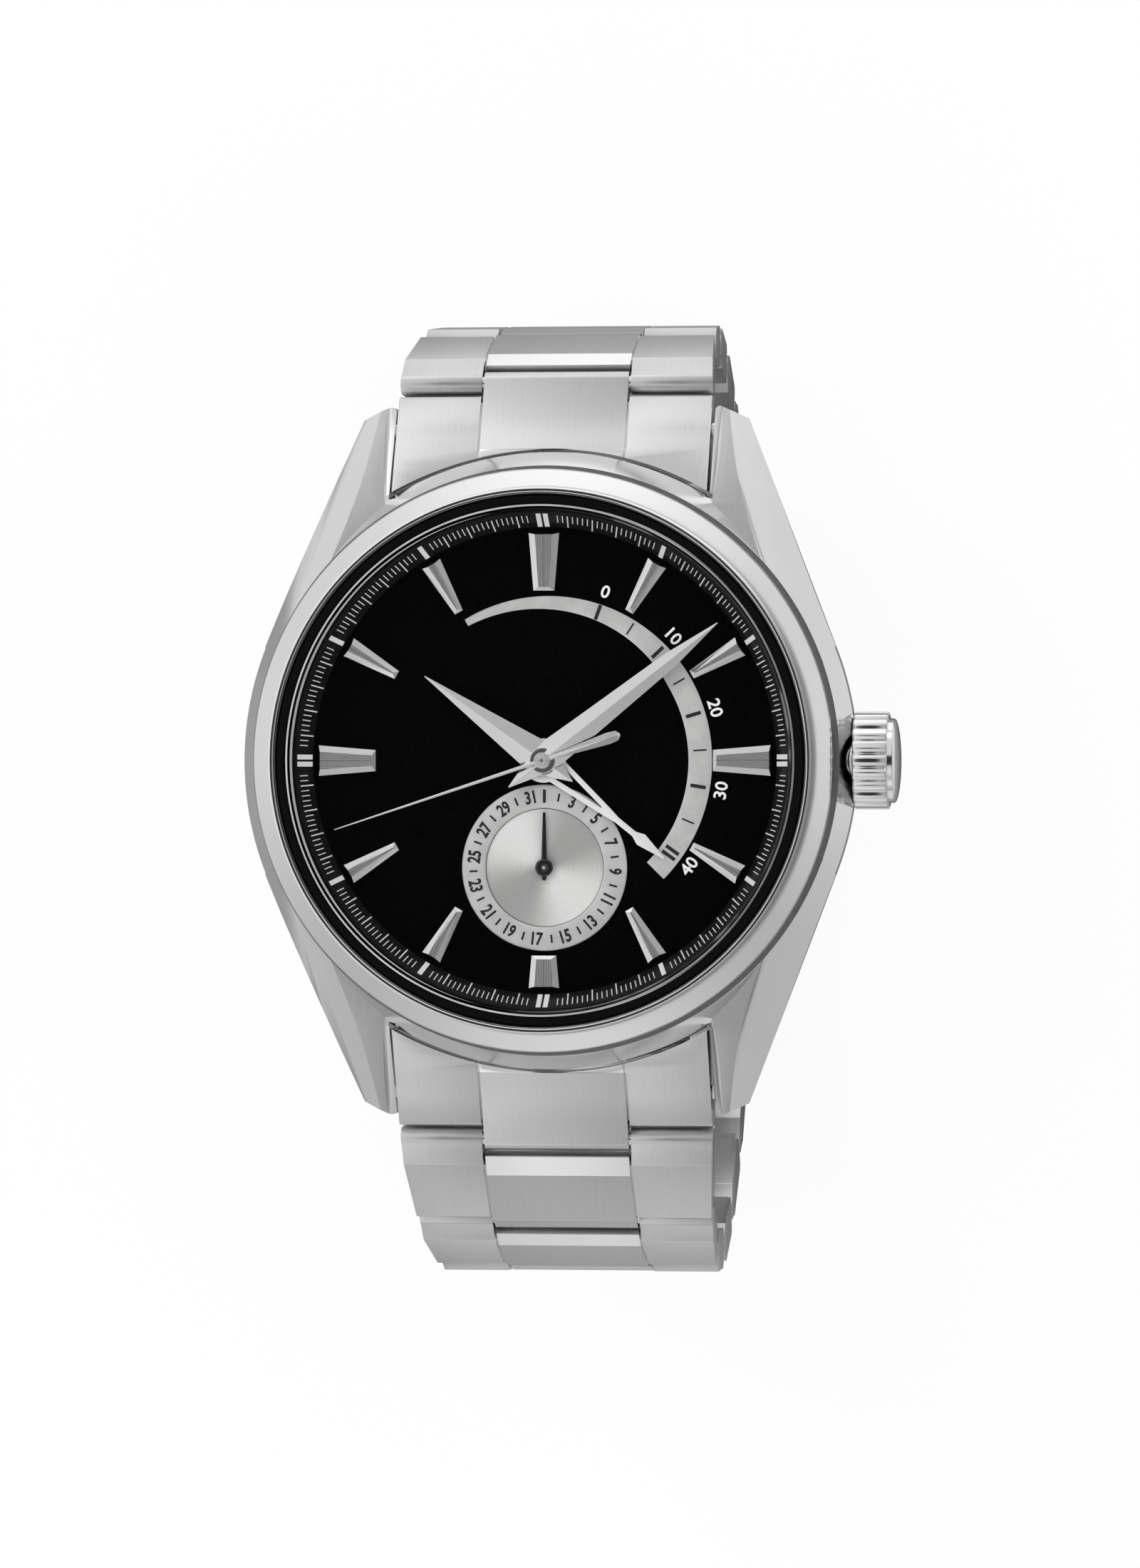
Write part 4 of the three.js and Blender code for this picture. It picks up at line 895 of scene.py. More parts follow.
class WATCH_OT_crystal(bpy.types.Operator):
    """Builds the domed crystal, the black ring round it and the chapter ring with its minute track"""

    bl_idname = "watch.crystal"
    bl_label = "Crystal and chapter ring"

    def execute(self, context):
        shares = [1 - k / DOME_STEPS for k in range(DOME_STEPS + 1)]
        dome = [(DOME_RADIUS * share, CRYSTAL_TOP - DOME_HEIGHT * share ** 2) for share in shares]
        side = [(0, CRYSTAL_FOOT), (CRYSTAL_RADIUS, CRYSTAL_FOOT), (CRYSTAL_RADIUS, 11.95), (17.12, 12.02)]
        glass = turned([*side, *dome])
        painted(glass, 1, lambda normal, middle: from_middle(middle) > DOME_RADIUS and middle.z > 10.6)
        painted(glass, 2, lambda normal, middle: from_middle(middle) > 17.14 and middle.z > 11.9)
        looks = [crystal_clear(), crystal_edge(), crystal_rim()]
        piece("crystal_dome", glass, "case", looks, ["crystal"], HEAD, 8)

        seal = softened(tube(*SEAL, CRYSTAL_FOOT, 12.0, 160), 0.08)
        piece("crystal_ring", seal, "case", [rubber()], ["crystal_gasket"], HEAD)

        back = [(CHAPTER_IN[0], CHAPTER_FOOT), (CHAPTER_WALL, CHAPTER_FOOT), (CHAPTER_WALL, CHAPTER_OUT[1])]
        ring = softened(turned([*back, CHAPTER_OUT, CHAPTER_IN]), 0.03)
        piece("chapter_slope", ring, "case", [satin_black()], ["chapter_ring"], HEAD)
        self.track()
        return {"FINISHED"}

    def track(self):
        slope = math.dist(CHAPTER_IN, CHAPTER_OUT)
        depth = sizes().print_depth / MM
        bars = []
        for mark in range(MARKS):
            angle = mark * 360 / MARKS
            from_hour = distance_to(mark, MARKS_AN_HOUR)
            from_quarter = distance_to(mark, MARKS_A_QUARTER)
            if from_hour == 0:
                for offset in (-TWIN_MARK, TWIN_MARK) if from_quarter == 0 else (0,):
                    place = on_slope(angle, slope * 0.5) @ at(offset, 0, 0)
                    bars.append(bar(place, 0.33, slope * 0.92, depth, 0))
            elif from_hour > 1 and from_quarter > 2:
                first, width = (0.06, 0.09) if mark % 5 == 0 else (0.36, 0.068)
                place = on_slope(angle, slope * (first + TRACK_END) / 2)
                bars.append(bar(place, width, slope * (TRACK_END - first), depth, 1))
        piece("minute_track", joined(*bars), "case", [white_print(), grey_print()], (), HEAD)


# Dial, with angles clockwise from twelve

DIAL_FOOT = 8.3
DIAL_TOP = 8.7
DIAL_RADIUS = 16.9
DIAL_HOLE = 1.35
DATE_Y = -7.2501
DATE_WELL = 4.05
DATE_TOP = 8.78
MARKER_END = 15.4
BAND_FIRST = -29.7
BAND_LAST = 134.6
BAND_WIDENS = 89.7
BAND_THICKNESS = 0.05
TICK_FIRST = 20
TICK_SPAN = 106
TICK_COUNT = 9


def marker(length_of, inner_half, outer_half, inner_flat, outer_flat):
    """An hour marker with bevels round a lined top, pointing up the Y axis."""
    start = MARKER_END - length_of
    rise = sizes().marker_height / MM
    outline = [(-inner_half, start), (inner_half, start), (outer_half, MARKER_END), (-outer_half, MARKER_END)]
    shape = raised(outline, DIAL_TOP - 0.05, DIAL_TOP + rise * 0.68)
    top = max(shape.faces, key=lambda face: face.calc_center_median().z)
    made = bmesh.ops.extrude_face_region(shape, geom=[top])
    bmesh.ops.delete(shape, geom=[top], context="FACES_ONLY")
    for vert in new_points(made):
        near = vert.co.y < MARKER_END - length_of / 2
        vert.co.x = math.copysign(inner_flat if near else outer_flat, vert.co.x)
        vert.co.y += 0.24 if near else -0.1
        vert.co.z = DIAL_TOP + rise
    bmesh.ops.recalc_face_normals(shape, faces=shape.faces)
    across_map = shape.loops.layers.uv.new("across")
    for face in shape.faces:
        face.material_index = 1 if face.normal.z > 0.99 else 0
        for loop in face.loops:
            loop[across_map].uv = (loop.vert.co.x, loop.vert.co.y)
    return shape


def band_edges(angle):
    """The inner and outer radius of the power-reserve scale, which widens from its start."""
    share = min(1.0, (angle - BAND_FIRST) / BAND_WIDENS)
    return 10.5 - 0.7 * share, 11.0 + 0.4 * share


class WATCH_OT_dial(bpy.types.Operator):
    """Builds the dial with its markers, the power-reserve scale and the date ring"""

    bl_idname = "watch.dial"
    bl_label = "Dial"

    def execute(self, context):
        depth = sizes().print_depth / MM
        self.plate()
        self.markers()
        self.band()
        self.ticks(depth)
        self.numerals(sizes().numeral_height / MM)
        self.date_ring()
        self.date_numerals(sizes().date_height / MM, depth)
        return {"FINISHED"}

    def plate(self):
        plate = softened(tube(DIAL_HOLE, DIAL_RADIUS, DIAL_FOOT, DIAL_TOP, 160), 0.03, 1)
        plate = carved(plate, [put(tube(0, DATE_WELL, 8.0, 9.0, 96), at(0, DATE_Y, 0))])
        piece("dial_plate", plate, "case", [lacquer()], ["dial"], HEAD)

    def markers(self):
        made = []
        for hour in range(12):
            if hour == 6:
                one = marker(2.2, 0.84, 1.035, 0.5, 0.64)
            elif hour % 3 == 0:
                one = marker(3.9, 0.715, 1.035, 0.36, 0.6)
            else:
                one = marker(3.8, 0.3, 0.7, 0.04, 0.26)
            made.append(put(one, clockwise(hour * 30)))
        piece("hour_markers", joined(*made), "case", [hand_steel(), lined_steel()], (), HEAD, 8)

    def band(self):
        rows = [(0.0, -0.1), (0.0, 0.015), (0.1, BAND_THICKNESS), (0.9, BAND_THICKNESS), (1.0, 0.015),
                (1.0, -0.1), (0.0, -0.1)]
        shape = bmesh.new()
        bmesh.ops.create_grid(shape, x_segments=120, y_segments=len(rows) - 1, size=0.5)
        for vert in shape.verts:
            angle = BAND_FIRST + (BAND_LAST - BAND_FIRST) * (vert.co.x + 0.5)
            share, height = rows[round((vert.co.y + 0.5) * (len(rows) - 1))]
            inner, outer = band_edges(angle)
            radius = inner + (outer - inner) * share
            turn = math.radians(angle)
            vert.co = (radius * math.sin(turn), radius * math.cos(turn), DIAL_TOP + height)
        bmesh.ops.remove_doubles(shape, verts=shape.verts, dist=1e-4)
        close_holes(shape)
        piece("reserve_band", shape, "case", [frosted_silver()], ["reserve_scale"], HEAD, 20)

    def ticks(self, depth):
        bars = []
        for step in range(TICK_COUNT):
            angle = TICK_FIRST + TICK_SPAN * step / (TICK_COUNT - 1)
            inner, outer = band_edges(angle)
            width, span = (0.24, 1.05) if step % 2 == 0 else (0.11, 0.9)
            for offset in (-0.22, 0.22) if step == TICK_COUNT - 1 else (0,):
                place = clockwise(angle) @ at(offset, (inner + outer) / 2, DIAL_TOP + BAND_THICKNESS)
                bars.append(bar(place, width, span, depth))
        piece("reserve_ticks", joined(*bars), "case", [black_print()], (), HEAD)

    def numerals(self, height):
        made = []
        for step, text in enumerate(["0", "10", "20", "30", "40"]):
            place = clockwise(TICK_FIRST + TICK_SPAN * step / 4) @ at(0, 12.15, DIAL_TOP)
            upright = place @ clockwise(180 if step > 2 else 0)
            made.append(put(lettered(text, height, 1.04, 0.018), upright))
        piece("reserve_numerals", joined(*made), "case", [white_print()], (), HEAD)

    def date_ring(self):
        middle = at(0, DATE_Y, 0)
        profile = [(4.02, 8.62), (5.63, 8.62), (5.63, 8.73), (5.5, DATE_TOP), (4.14, DATE_TOP), (4.02, 8.72)]
        ring = put(softened(turned(profile, 128), 0.015, 1), middle)
        piece("date_ring", ring, "case", [frosted_silver()], (), HEAD)
        profile = [(0.4, 8.35), (3.98, 8.35), (3.98, 8.6), (3.9, 8.6), (0.4, 8.56)]
        disc = put(turned(profile, 96), middle)
        piece("date_disc", disc, "case", [ringed_silver()], ["date_plate"], HEAD)

    def date_numerals(self, height, depth):
        marks = []
        for day in range(1, 32):
            place = at(0, DATE_Y, 0) @ clockwise((day - 1) * 360 / 31) @ at(0, 4.84, DATE_TOP)
            if day == 1:
                marks.append(bar(place, 0.2, height, depth))
            elif day % 2 == 0:
                marks.append(bar(place, 0.13, 0.56, depth))
            else:
                upright = place @ clockwise(180 if 9 < day < 25 else 0)
                marks.append(put(lettered(str(day), height, 0.74, 0.032), upright))
        piece("date_numerals", joined(*marks), "case", [black_print()], (), HEAD)


# Hands, each with its height and its angle at rest, clockwise from twelve

HANDS = {"reserve": (9.05, 128.9), "hour": (9.4, 305.2), "minute": (9.75, 52), "seconds": (10.1, 251.7)}
DATE_HAND_LEVEL = 8.85
PIPE_FOOT = 7.15


def faceted(stations, level, edge=0.07):
    """A blade with a ridge, given by its half width, its place and its ridge's height from tip to tail."""
    shape = bmesh.new()
    rim = [shape.verts.new((x, y, level + edge)) for x, y, rise in stations]
    crest = [shape.verts.new((0, y, level + edge + rise)) for x, y, rise in stations]
    shape.faces.new([*rim, *reversed(crest)])
    bmesh.ops.triangulate(shape, faces=shape.faces[:])
    whole = shape.verts[:] + shape.edges[:] + shape.faces[:]
    bmesh.ops.mirror(shape, geom=whole, axis="X", merge_dist=1e-4)
    bmesh.ops.remove_doubles(shape, verts=shape.verts, dist=1e-4)
    made = bmesh.ops.extrude_edge_only(shape, edges=open_edges(shape))
    for vert in new_points(made):
        vert.co.z = level
    return close_holes(shape)


def hub(radius, low, high, hole=0.0, soft=0.05):
    return softened(tube(hole, radius, low, high, 48), soft)


def pipe(inner, outer, top):
    return tube(inner, outer, PIPE_FOOT, top, 32)


def fit_hand(name, shape, hand, looks, smooth):
    """Turns a hand to its place at rest and makes it a piece."""
    whole = put(shape, clockwise(HANDS[hand][1]))
    piece(name, whole, hand, looks, [f"{hand}_hand"], HEAD, smooth)


class WATCH_OT_hands(bpy.types.Operator):
    """Builds the hour, minute, seconds, power-reserve and date hands"""

    bl_idname = "watch.hands"
    bl_label = "Hands"

    def execute(self, context):
        rise = sizes().facet_rise / MM
        self.hour(HANDS["hour"][0], rise)
        self.minute(HANDS["minute"][0], rise)
        self.seconds(HANDS["seconds"][0])
        self.reserve(HANDS["reserve"][0])
        self.date(DATE_HAND_LEVEL)
        return {"FINISHED"}

    def hour(self, level, rise):
        stations = [(0.03, 9.9, 0.02), (1.12, 0.9, rise), (0.62, -1.1, rise * 0.6), (0.03, -2.45, 0.01)]
        boss = hub(1.0, level, level + 0.2, 0.6)
        shape = joined(faceted(stations, level), boss, pipe(0.62, 0.84, level + 0.1))
        fit_hand("hour_blade", shape, "hour", [hand_steel()], 5)

    def minute(self, level, rise):
        stations = [(0.03, 15.07, 0.02), (0.55, 11.0, rise * 0.6), (0.84, 4.2, rise * 0.9), (1.0, 0.9, rise),
                    (0.59, -1.17, rise * 0.6), (0.03, -2.94, 0.01)]
        boss = hub(0.88, level, level + 0.22, 0.25)
        shape = joined(faceted(stations, level), boss, pipe(0.3, 0.52, level + 0.1))
        fit_hand("minute_blade", shape, "minute", [hand_steel()], 5)

    def seconds(self, level):
        stations = [(0.03, 14.92, 0.02), (0.13, 0.6, 0.05), (0.14, -0.6, 0.05), (0.4, -4.75, 0.05),
                    (0.34, -5.35, 0.04), (0.1, -5.58, 0.03)]
        cap = painted(hub(0.54, level - 0.02, level + 0.24, 0.17), 1)
        washer = painted(hub(0.34, level, level + 0.3, 0.13, 0.03), 1)
        stud = hub(0.09, level, level + 0.2, 0.0, 0.02)
        post = tube(0, 0.2, 6.0, level + 0.12, 24)
        shape = joined(faceted(stations, level, 0.08), cap, washer, stud, post)
        fit_hand("seconds_needle", shape, "seconds", [hand_steel(), circled_steel()], 8)

    def reserve(self, level):
        top = level + 0.16
        outline = [(0.92, 0.0), (0.86, 1.2), (0.34, 5.5), (0.2, 6.4), (0.19, 7.9), (0.44, 8.5), (0.06, 10.5)]
        blade = raised([*outline, *[(-x, y) for x, y in reversed(outline)]], level, top)
        window = raised([(0.5, 1.2), (0.04, 5.05), (-0.04, 5.05), (-0.5, 1.2)], level - 1, top + 1)
        blade = softened(carved(blade, [window, tube(0, 1.1, level - 1, top + 1, 48)]), 0.04)
        ring = hub(1.5, level, top + 0.02, 1.02)
        shape = joined(blade, ring, pipe(0.94, 1.16, top))
        fit_hand("reserve_fork", shape, "reserve", [pale_steel()], 25)

    def date(self, level):
        stations = [(0.09, 3.75, 0.01), (0.2, 0.3, 0.04), (0.2, -0.5, 0.04), (0.12, -0.85, 0.02)]
        boss = hub(0.6, level, level + 0.14, 0.17, 0.04)
        stud = painted(hub(0.12, level, level + 0.16, 0.0, 0.02), 1)
        post = tube(0, 0.3, PIPE_FOOT, level + 0.05, 24)
        shape = put(joined(faceted(stations, level, 0.08), boss, stud, post), at(0, DATE_Y, 0))
        looks = [black_enamel(), hand_steel()]
        piece("date_pointer", shape, "date", looks, ["date_hand"], HEAD, 25)


# Crown, worked out along Z from its foot and then laid along X

CROWN_RADIUS = 3.3
CROWN_LENGTH = 2.35
CROWN_EDGE = 0.2
RIB_DEPTH = 0.26
RIB_STEPS = 10
CAP_RADIUS = 2.86
CAP_START = 2.68
CAP_HEIGHT = 0.42
COLLAR_WALL = 1.95


class WATCH_OT_crown(bpy.types.Operator):
    """Builds the fluted crown and finishes its tube, stem and seal"""

    bl_idname = "watch.crown"
    bl_label = "Crown"

    def execute(self, context):
        ribs = sizes().crown_flutes
        shape = bmesh.new()
        bmesh.ops.create_circle(shape, cap_ends=True, segments=ribs * RIB_STEPS, radius=CROWN_RADIUS)
        for vert in shape.verts:
            turn = math.atan2(vert.co.y, vert.co.x) * ribs
            depth = RIB_DEPTH * (0.5 - 0.5 * math.cos(turn)) ** 4
            vert.co.xy = vert.co.xy.normalized() * (CROWN_RADIUS - depth)
        painted(grown(shape, shape.faces[:], (0, 0, CROWN_LENGTH)), 0)
        ends = [e for e in sharp_edges(shape, 60) if abs(e.verts[0].co.z - e.verts[1].co.z) < 1e-4]
        rounded(shape, ends, CROWN_EDGE, 3)
        turns = [math.radians(15 * k) for k in range(7)]
        dome = [(CAP_RADIUS * math.cos(t), CAP_START + CAP_HEIGHT * math.sin(t)) for t in turns]
        dome[-1] = (0, dome[-1][1])
        cap = turned([(0, 1.6), (CAP_RADIUS, 1.6), *dome], 96)
        collar = tube(TUBE_HOLE, COLLAR_WALL, 0.0, 0.3, 64)
        whole = put(joined(shape, cap, collar), at(CROWN_START, 0, CROWN_Z) @ ALONG_X)
        piece("crown_grip", whole, "crown", [polished_steel()], ["crown"], HEAD, 32)
        dress(polished_steel(), "crown_tube", "stem")
        dress(rubber(), "crown_seal")
        return {"FINISHED"}


# Bracelet, with Y along a link away from the head and Z away from the wrist

ROW_HALF = 5.0
SEAM = 0.12
NOSE = 0.8
THICK = 1.45
PITCH = 8
LINK_START = 1.1
LINK_END = 6.9
PIN_RADIUS = 0.5
TAPER_LINKS = 5
END_HALF = 10.8
END_LINK_CUT = 21.25
END_LINK_START = 17.0


def half_width(pitches):
    """The bracelet's half width at a number of links from the head."""
    return 9.3 + 1.5 * max(0.0, 1 - pitches / TAPER_LINKS) ** 2


def half_round(y, z, side):
    """Points round a hinge from below to above, on its side away from the head or, with -1, toward it."""
    turns = [math.radians(18 * k - 90) for k in range(11)]
    return [(y + side * NOSE * math.cos(t), z + NOSE * math.sin(t)) for t in turns]


def pivots(names):
    """Where joints turn, in millimetres."""
    found = {joint["name"]: joint["pos_m"] for joint in frame["joints"] if joint.get("pos_m")}
    return [Vector(found[name]) / MM for name in names]


def link_places(points, facing):
    """For each link between two points, the place of its own Y and Z."""
    places = []
    for here, there in zip(points, points[1:]):
        step = there - here
        angle = math.atan2(-step.z, facing * step.y)
        turn = Matrix.Rotation(0 if facing > 0 else math.pi, 4, "Z") @ Matrix.Rotation(-angle, 4, "X")
        places.append(Matrix.Translation(here) @ turn)
    return places


def link_side(number, side, soft):
    """One outer row of a link, which narrows away from the head."""
    start, end = LINK_START, LINK_END
    near, far = half_width(number), half_width(number + 1)
    outline = [*half_round(0, 0, -1), (start, THICK), (end - 0.4, THICK), (end, THICK - 0.4),
               (end, 0.4 - THICK), (end - 0.4, -THICK), (start, -THICK)]
    row = across(outline, ROW_HALF + SEAM, near)
    for vert in row.verts:
        if vert.co.x > ROW_HALF + 1:
            vert.co.x = near + (far - near) * (vert.co.y + NOSE) / (end + NOSE)
    softened(row, soft, 2, 30)
    painted(row, 1, lambda normal, middle: abs(normal.x) > 0.7)
    return put(row, Matrix.Diagonal((side, 1, 1, 1)))


def link_shape(number, soft):
    """A link of three rows, with the web that joins them, its pin and a strip of darker steel in its gap,
    painted shade.
    """
    start, end = LINK_START, LINK_END
    far = half_width(number + 1)
    outline = [(start, -1.05), (start + 0.4, -THICK), (end, -THICK), *half_round(PITCH, 0, 1), (end, THICK),
               (2.2, THICK), (0.6, 1.1), (0.95, 0.3), (start, 0.2)]
    # The centre row gets look 2, the darker brushed steel, painted shade
    row = painted(softened(across(outline, -ROW_HALF, ROW_HALF), soft, 2, 28), 2)
    painted(row, 1, lambda normal, middle: normal.z > 0.9 and normal.y < -0.12 and middle.y < 2.3)
    painted(row, 1, lambda normal, middle: abs(normal.x) > 0.7)
    web = block((-ROW_HALF - 0.3, start + 0.3, -1.2), (ROW_HALF + 0.3, end - 0.3, 1.2))
    # A strip of darker steel under the seams, painted shade where the gap falls dark
    strip = painted(block((0.3 - far, 6.5, -1.02), (far - 0.3, 7.7, -0.87)), 2)
    pin = painted(put(tube(0, PIN_RADIUS, -5.3, 5.3, 24), ALONG_X), 1)
    return joined(link_side(number, 1, soft), link_side(number, -1, soft), row, web, strip, pin)


def end_link_shape(soft, lip=0.0):
    """The solid end link on the twelve side, cut to the case's curve."""
    bar_y, pivot_y, floor, nose_z = 22.7, 25.95, 0.4, 1.2
    tops = [(y, lug_top(y)) for y in [bar_y - (bar_y - END_LINK_START) * k / 8 for k in range(9)]]
    foot = (END_LINK_START, floor)
    middle = across([foot, *half_round(pivot_y, nose_z, 1), *tops], -ROW_HALF, ROW_HALF)
    end = pivot_y - 0.95
    share = (end - bar_y) / (pivot_y - bar_y)
    top = lug_top(bar_y) + (nose_z + NOSE - lug_top(bar_y)) * share
    outline = [foot, (end + lip, floor), (end + lip, floor + 0.2), (end, floor + 0.55), (end, top - 0.2),
               (end - 0.2, top + 0.05), *tops]
    sides = [across(outline, ROW_HALF + SEAM, END_HALF), across(outline, -END_HALF, -ROW_HALF - SEAM)]
    back = end - 0.35
    sunk_tops = [(y, z - 0.25) for y, z in tops]
    sunk = [(END_LINK_START, floor + 0.25), (back, floor + 0.25), (back, top - 0.4), *sunk_tops]
    web = across(sunk, -ROW_HALF - 0.3, ROW_HALF + 0.3)
    parts = []
    for part in (middle, *sides, web):
        part = carved(part, [tube(0, END_LINK_CUT, -2, 12, 256)])
        parts.append(softened(part, soft, 2, 30))
    whole = joined(*parts)
    painted(whole, 1, lambda normal, place: abs(normal.x) > 0.7)
    return painted(whole, 1, lambda normal, place: from_middle(place) < END_LINK_CUT + 0.04)


class WATCH_OT_bracelet(bpy.types.Operator):
    """Builds the two end links and the thirteen links"""

    bl_idname = "watch.bracelet"
    bl_label = "Bracelet"

    def execute(self, context):
        soft = sizes().edge_softness / MM
        looks = [brushed_steel(), polished_steel(), brushed_row()]
        for number, turn, lip in ((12, 0, 0.0), (6, 180, 0.22)):
            shape = put(end_link_shape(soft, lip), clockwise(turn))
            node = f"end_link_{number}"
            piece(f"{node}_solid", shape, "case", looks, [node], HEAD)
        dress(polished_steel(), "spring_bar_12", "spring_bar_6")
        low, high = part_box("clasp_spring_bar")
        upper = [*pivots([f"upper_{k}_fold" for k in range(1, 7)]), (low + high) / 2 / MM]
        lower = pivots([*[f"lower_{k}_fold" for k in range(1, 8)], "inner_blade_fold"])
        for side, half, points, facing in (("12", "upper", upper, 1), ("6", "lower", lower, -1)):
            for number, place in enumerate(link_places(points, facing)):
                shape = put(link_shape(number, soft), place)
                node = f"link_{side}_{number + 1}"
                body = f"{half}_{number + 1}"
                piece(f"{node}_rows", shape, body, looks, [node], crisp=True)
        return {"FINISHED"}


# Clasp


class WATCH_OT_clasp(bpy.types.Operator):
    """Builds the folding clasp with its cover, blades, pins and push buttons"""

    bl_idname = "watch.clasp"
    bl_label = "Clasp"

    def execute(self, context):
        soft = sizes().edge_softness / MM
        steel = polished_steel()
        looks = [brushed_steel(), steel]
        cover = painted(refined("clasp_cover", soft * 1.6, 3), 1, lambda normal, middle: abs(normal.x) > 0.6)
        piece("clasp_shell", cover, "cover", looks, ["clasp_cover"])
        for body in ("middle_blade", "inner_blade"):
            node = f"clasp_{body}"
            blade = painted(refined(node, soft), 1, lambda normal, middle: abs(normal.x) > 0.6)
            piece(f"{node}_solid", blade, body, looks, [node])
        for body in ("button_right", "button_left"):
            node = f"clasp_{body}"
            piece(f"{body}_solid", refined(node, soft * 1.5, 3), body, [steel], [node])
        for node, body in (("clasp_cover_pin", "cover"), ("clasp_turn_pin", "inner_blade")):
            low, high = [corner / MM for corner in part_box(node)]
            half = (high.x - low.x) / 2
            pin = softened(tube(0, PIN_RADIUS, -half, half, 32), 0.1)
            whole = put(pin, at(*((low + high) / 2)) @ ALONG_X)
            piece(f"{node}_turned", whole, body, [steel], [node])
        dress(steel, "clasp_spring_bar")
        return {"FINISHED"}


# Case back and movement, with places from the middle of the head and heights over the case back

BACK_NOTCHES = 6
BARREL = (-7.4, 2.9)
THIRD = (1.925, 3.62)
BALANCE = (2.996, -7.597)
BRIDGE_RADIUS = 14.2
BRIDGE_FOOT = 3.6
BRIDGE_TOP = 4.8
STAFF_RADIUS = 0.3
TOOTH_DEPTH = 0.22
COIL_TURNS = 6
COIL_STEPS = 240
ROTOR_FOOT = 2.0
ROTOR_TOP = 3.35
BALL_COUNT = 7


class WATCH_OT_back(bpy.types.Operator):
    """Builds the case back with its glass"""

    bl_idname = "watch.back"
    bl_label = "Case back"

    def execute(self, context):
        outside = [(13.8, 0.0), (17.5, 0.0), (COLLAR, 0.7), (COLLAR, 1.35), (17.0, 1.35), (17.0, 2.8)]
        ring = softened(turned([*outside, (15.4, 2.8), (15.4, 0.4), (13.8, 0.4)]), 0.08)
        tools = [block((-1.1, 16.6, -1), (1.1, 19.0, 0.75)) for number in range(BACK_NOTCHES)]
        notches = [put(tool, clockwise(number * 60 + 30)) for number, tool in enumerate(tools)]
        ring = carved(ring, notches)
        piece("back_ring", ring, "case", [polished_steel()], ["case_back_ring"], HEAD)
        glass = softened(tube(0, 15.3, 0.45, 1.7, 128), 0.1)
        piece("back_glass", glass, "case", [crystal_clear()], ["case_back_glass"], HEAD)
        dress(rubber(), "case_back_gasket")
        return {"FINISHED"}


def half_ring(inner, outer, low, high, steps=64):
    """Half a ring on the six side."""
    return raised([*arc(outer, 180, 360, steps), *arc(inner, 360, 180, steps)], low, high)


def screw(radius, low, high):
    """A screw's head that faces down, with its slot along X."""
    head = softened(tube(0, radius, low, high, 32), 0.05)
    return carved(head, [block((-radius - 1, -0.09, low - 1), (radius + 1, 0.09, low + 0.1))])


def wheel(radius, teeth, spokes, rim, low, high):
    """A wheel with teeth and spokes."""
    shape = bmesh.new()
    bmesh.ops.create_circle(shape, cap_ends=True, segments=teeth * 4, radius=radius)
    for vert in shape.verts:
        turn = math.atan2(vert.co.y, vert.co.x) * teeth
        vert.co.xy = vert.co.xy.normalized() * (radius - TOOTH_DEPTH * (0.5 - 0.5 * math.cos(turn)))
    grown(shape, shape.faces[:], (0, 0, high - low))
    put(shape, at(0, 0, low))
    tools = []
    for number in range(spokes):
        first, last = 360 * number / spokes, 360 * (number + 1) / spokes
        inner, outer = rim * 0.28, radius - rim * 0.28
        points = [*arc(outer, first + 9, last - 9, 14), *arc(inner, last - 26, first + 26, 6)]
        tools.append(raised(points, low - 1, high + 1))
    return softened(carved(shape, tools), 0.03, 1, 40)


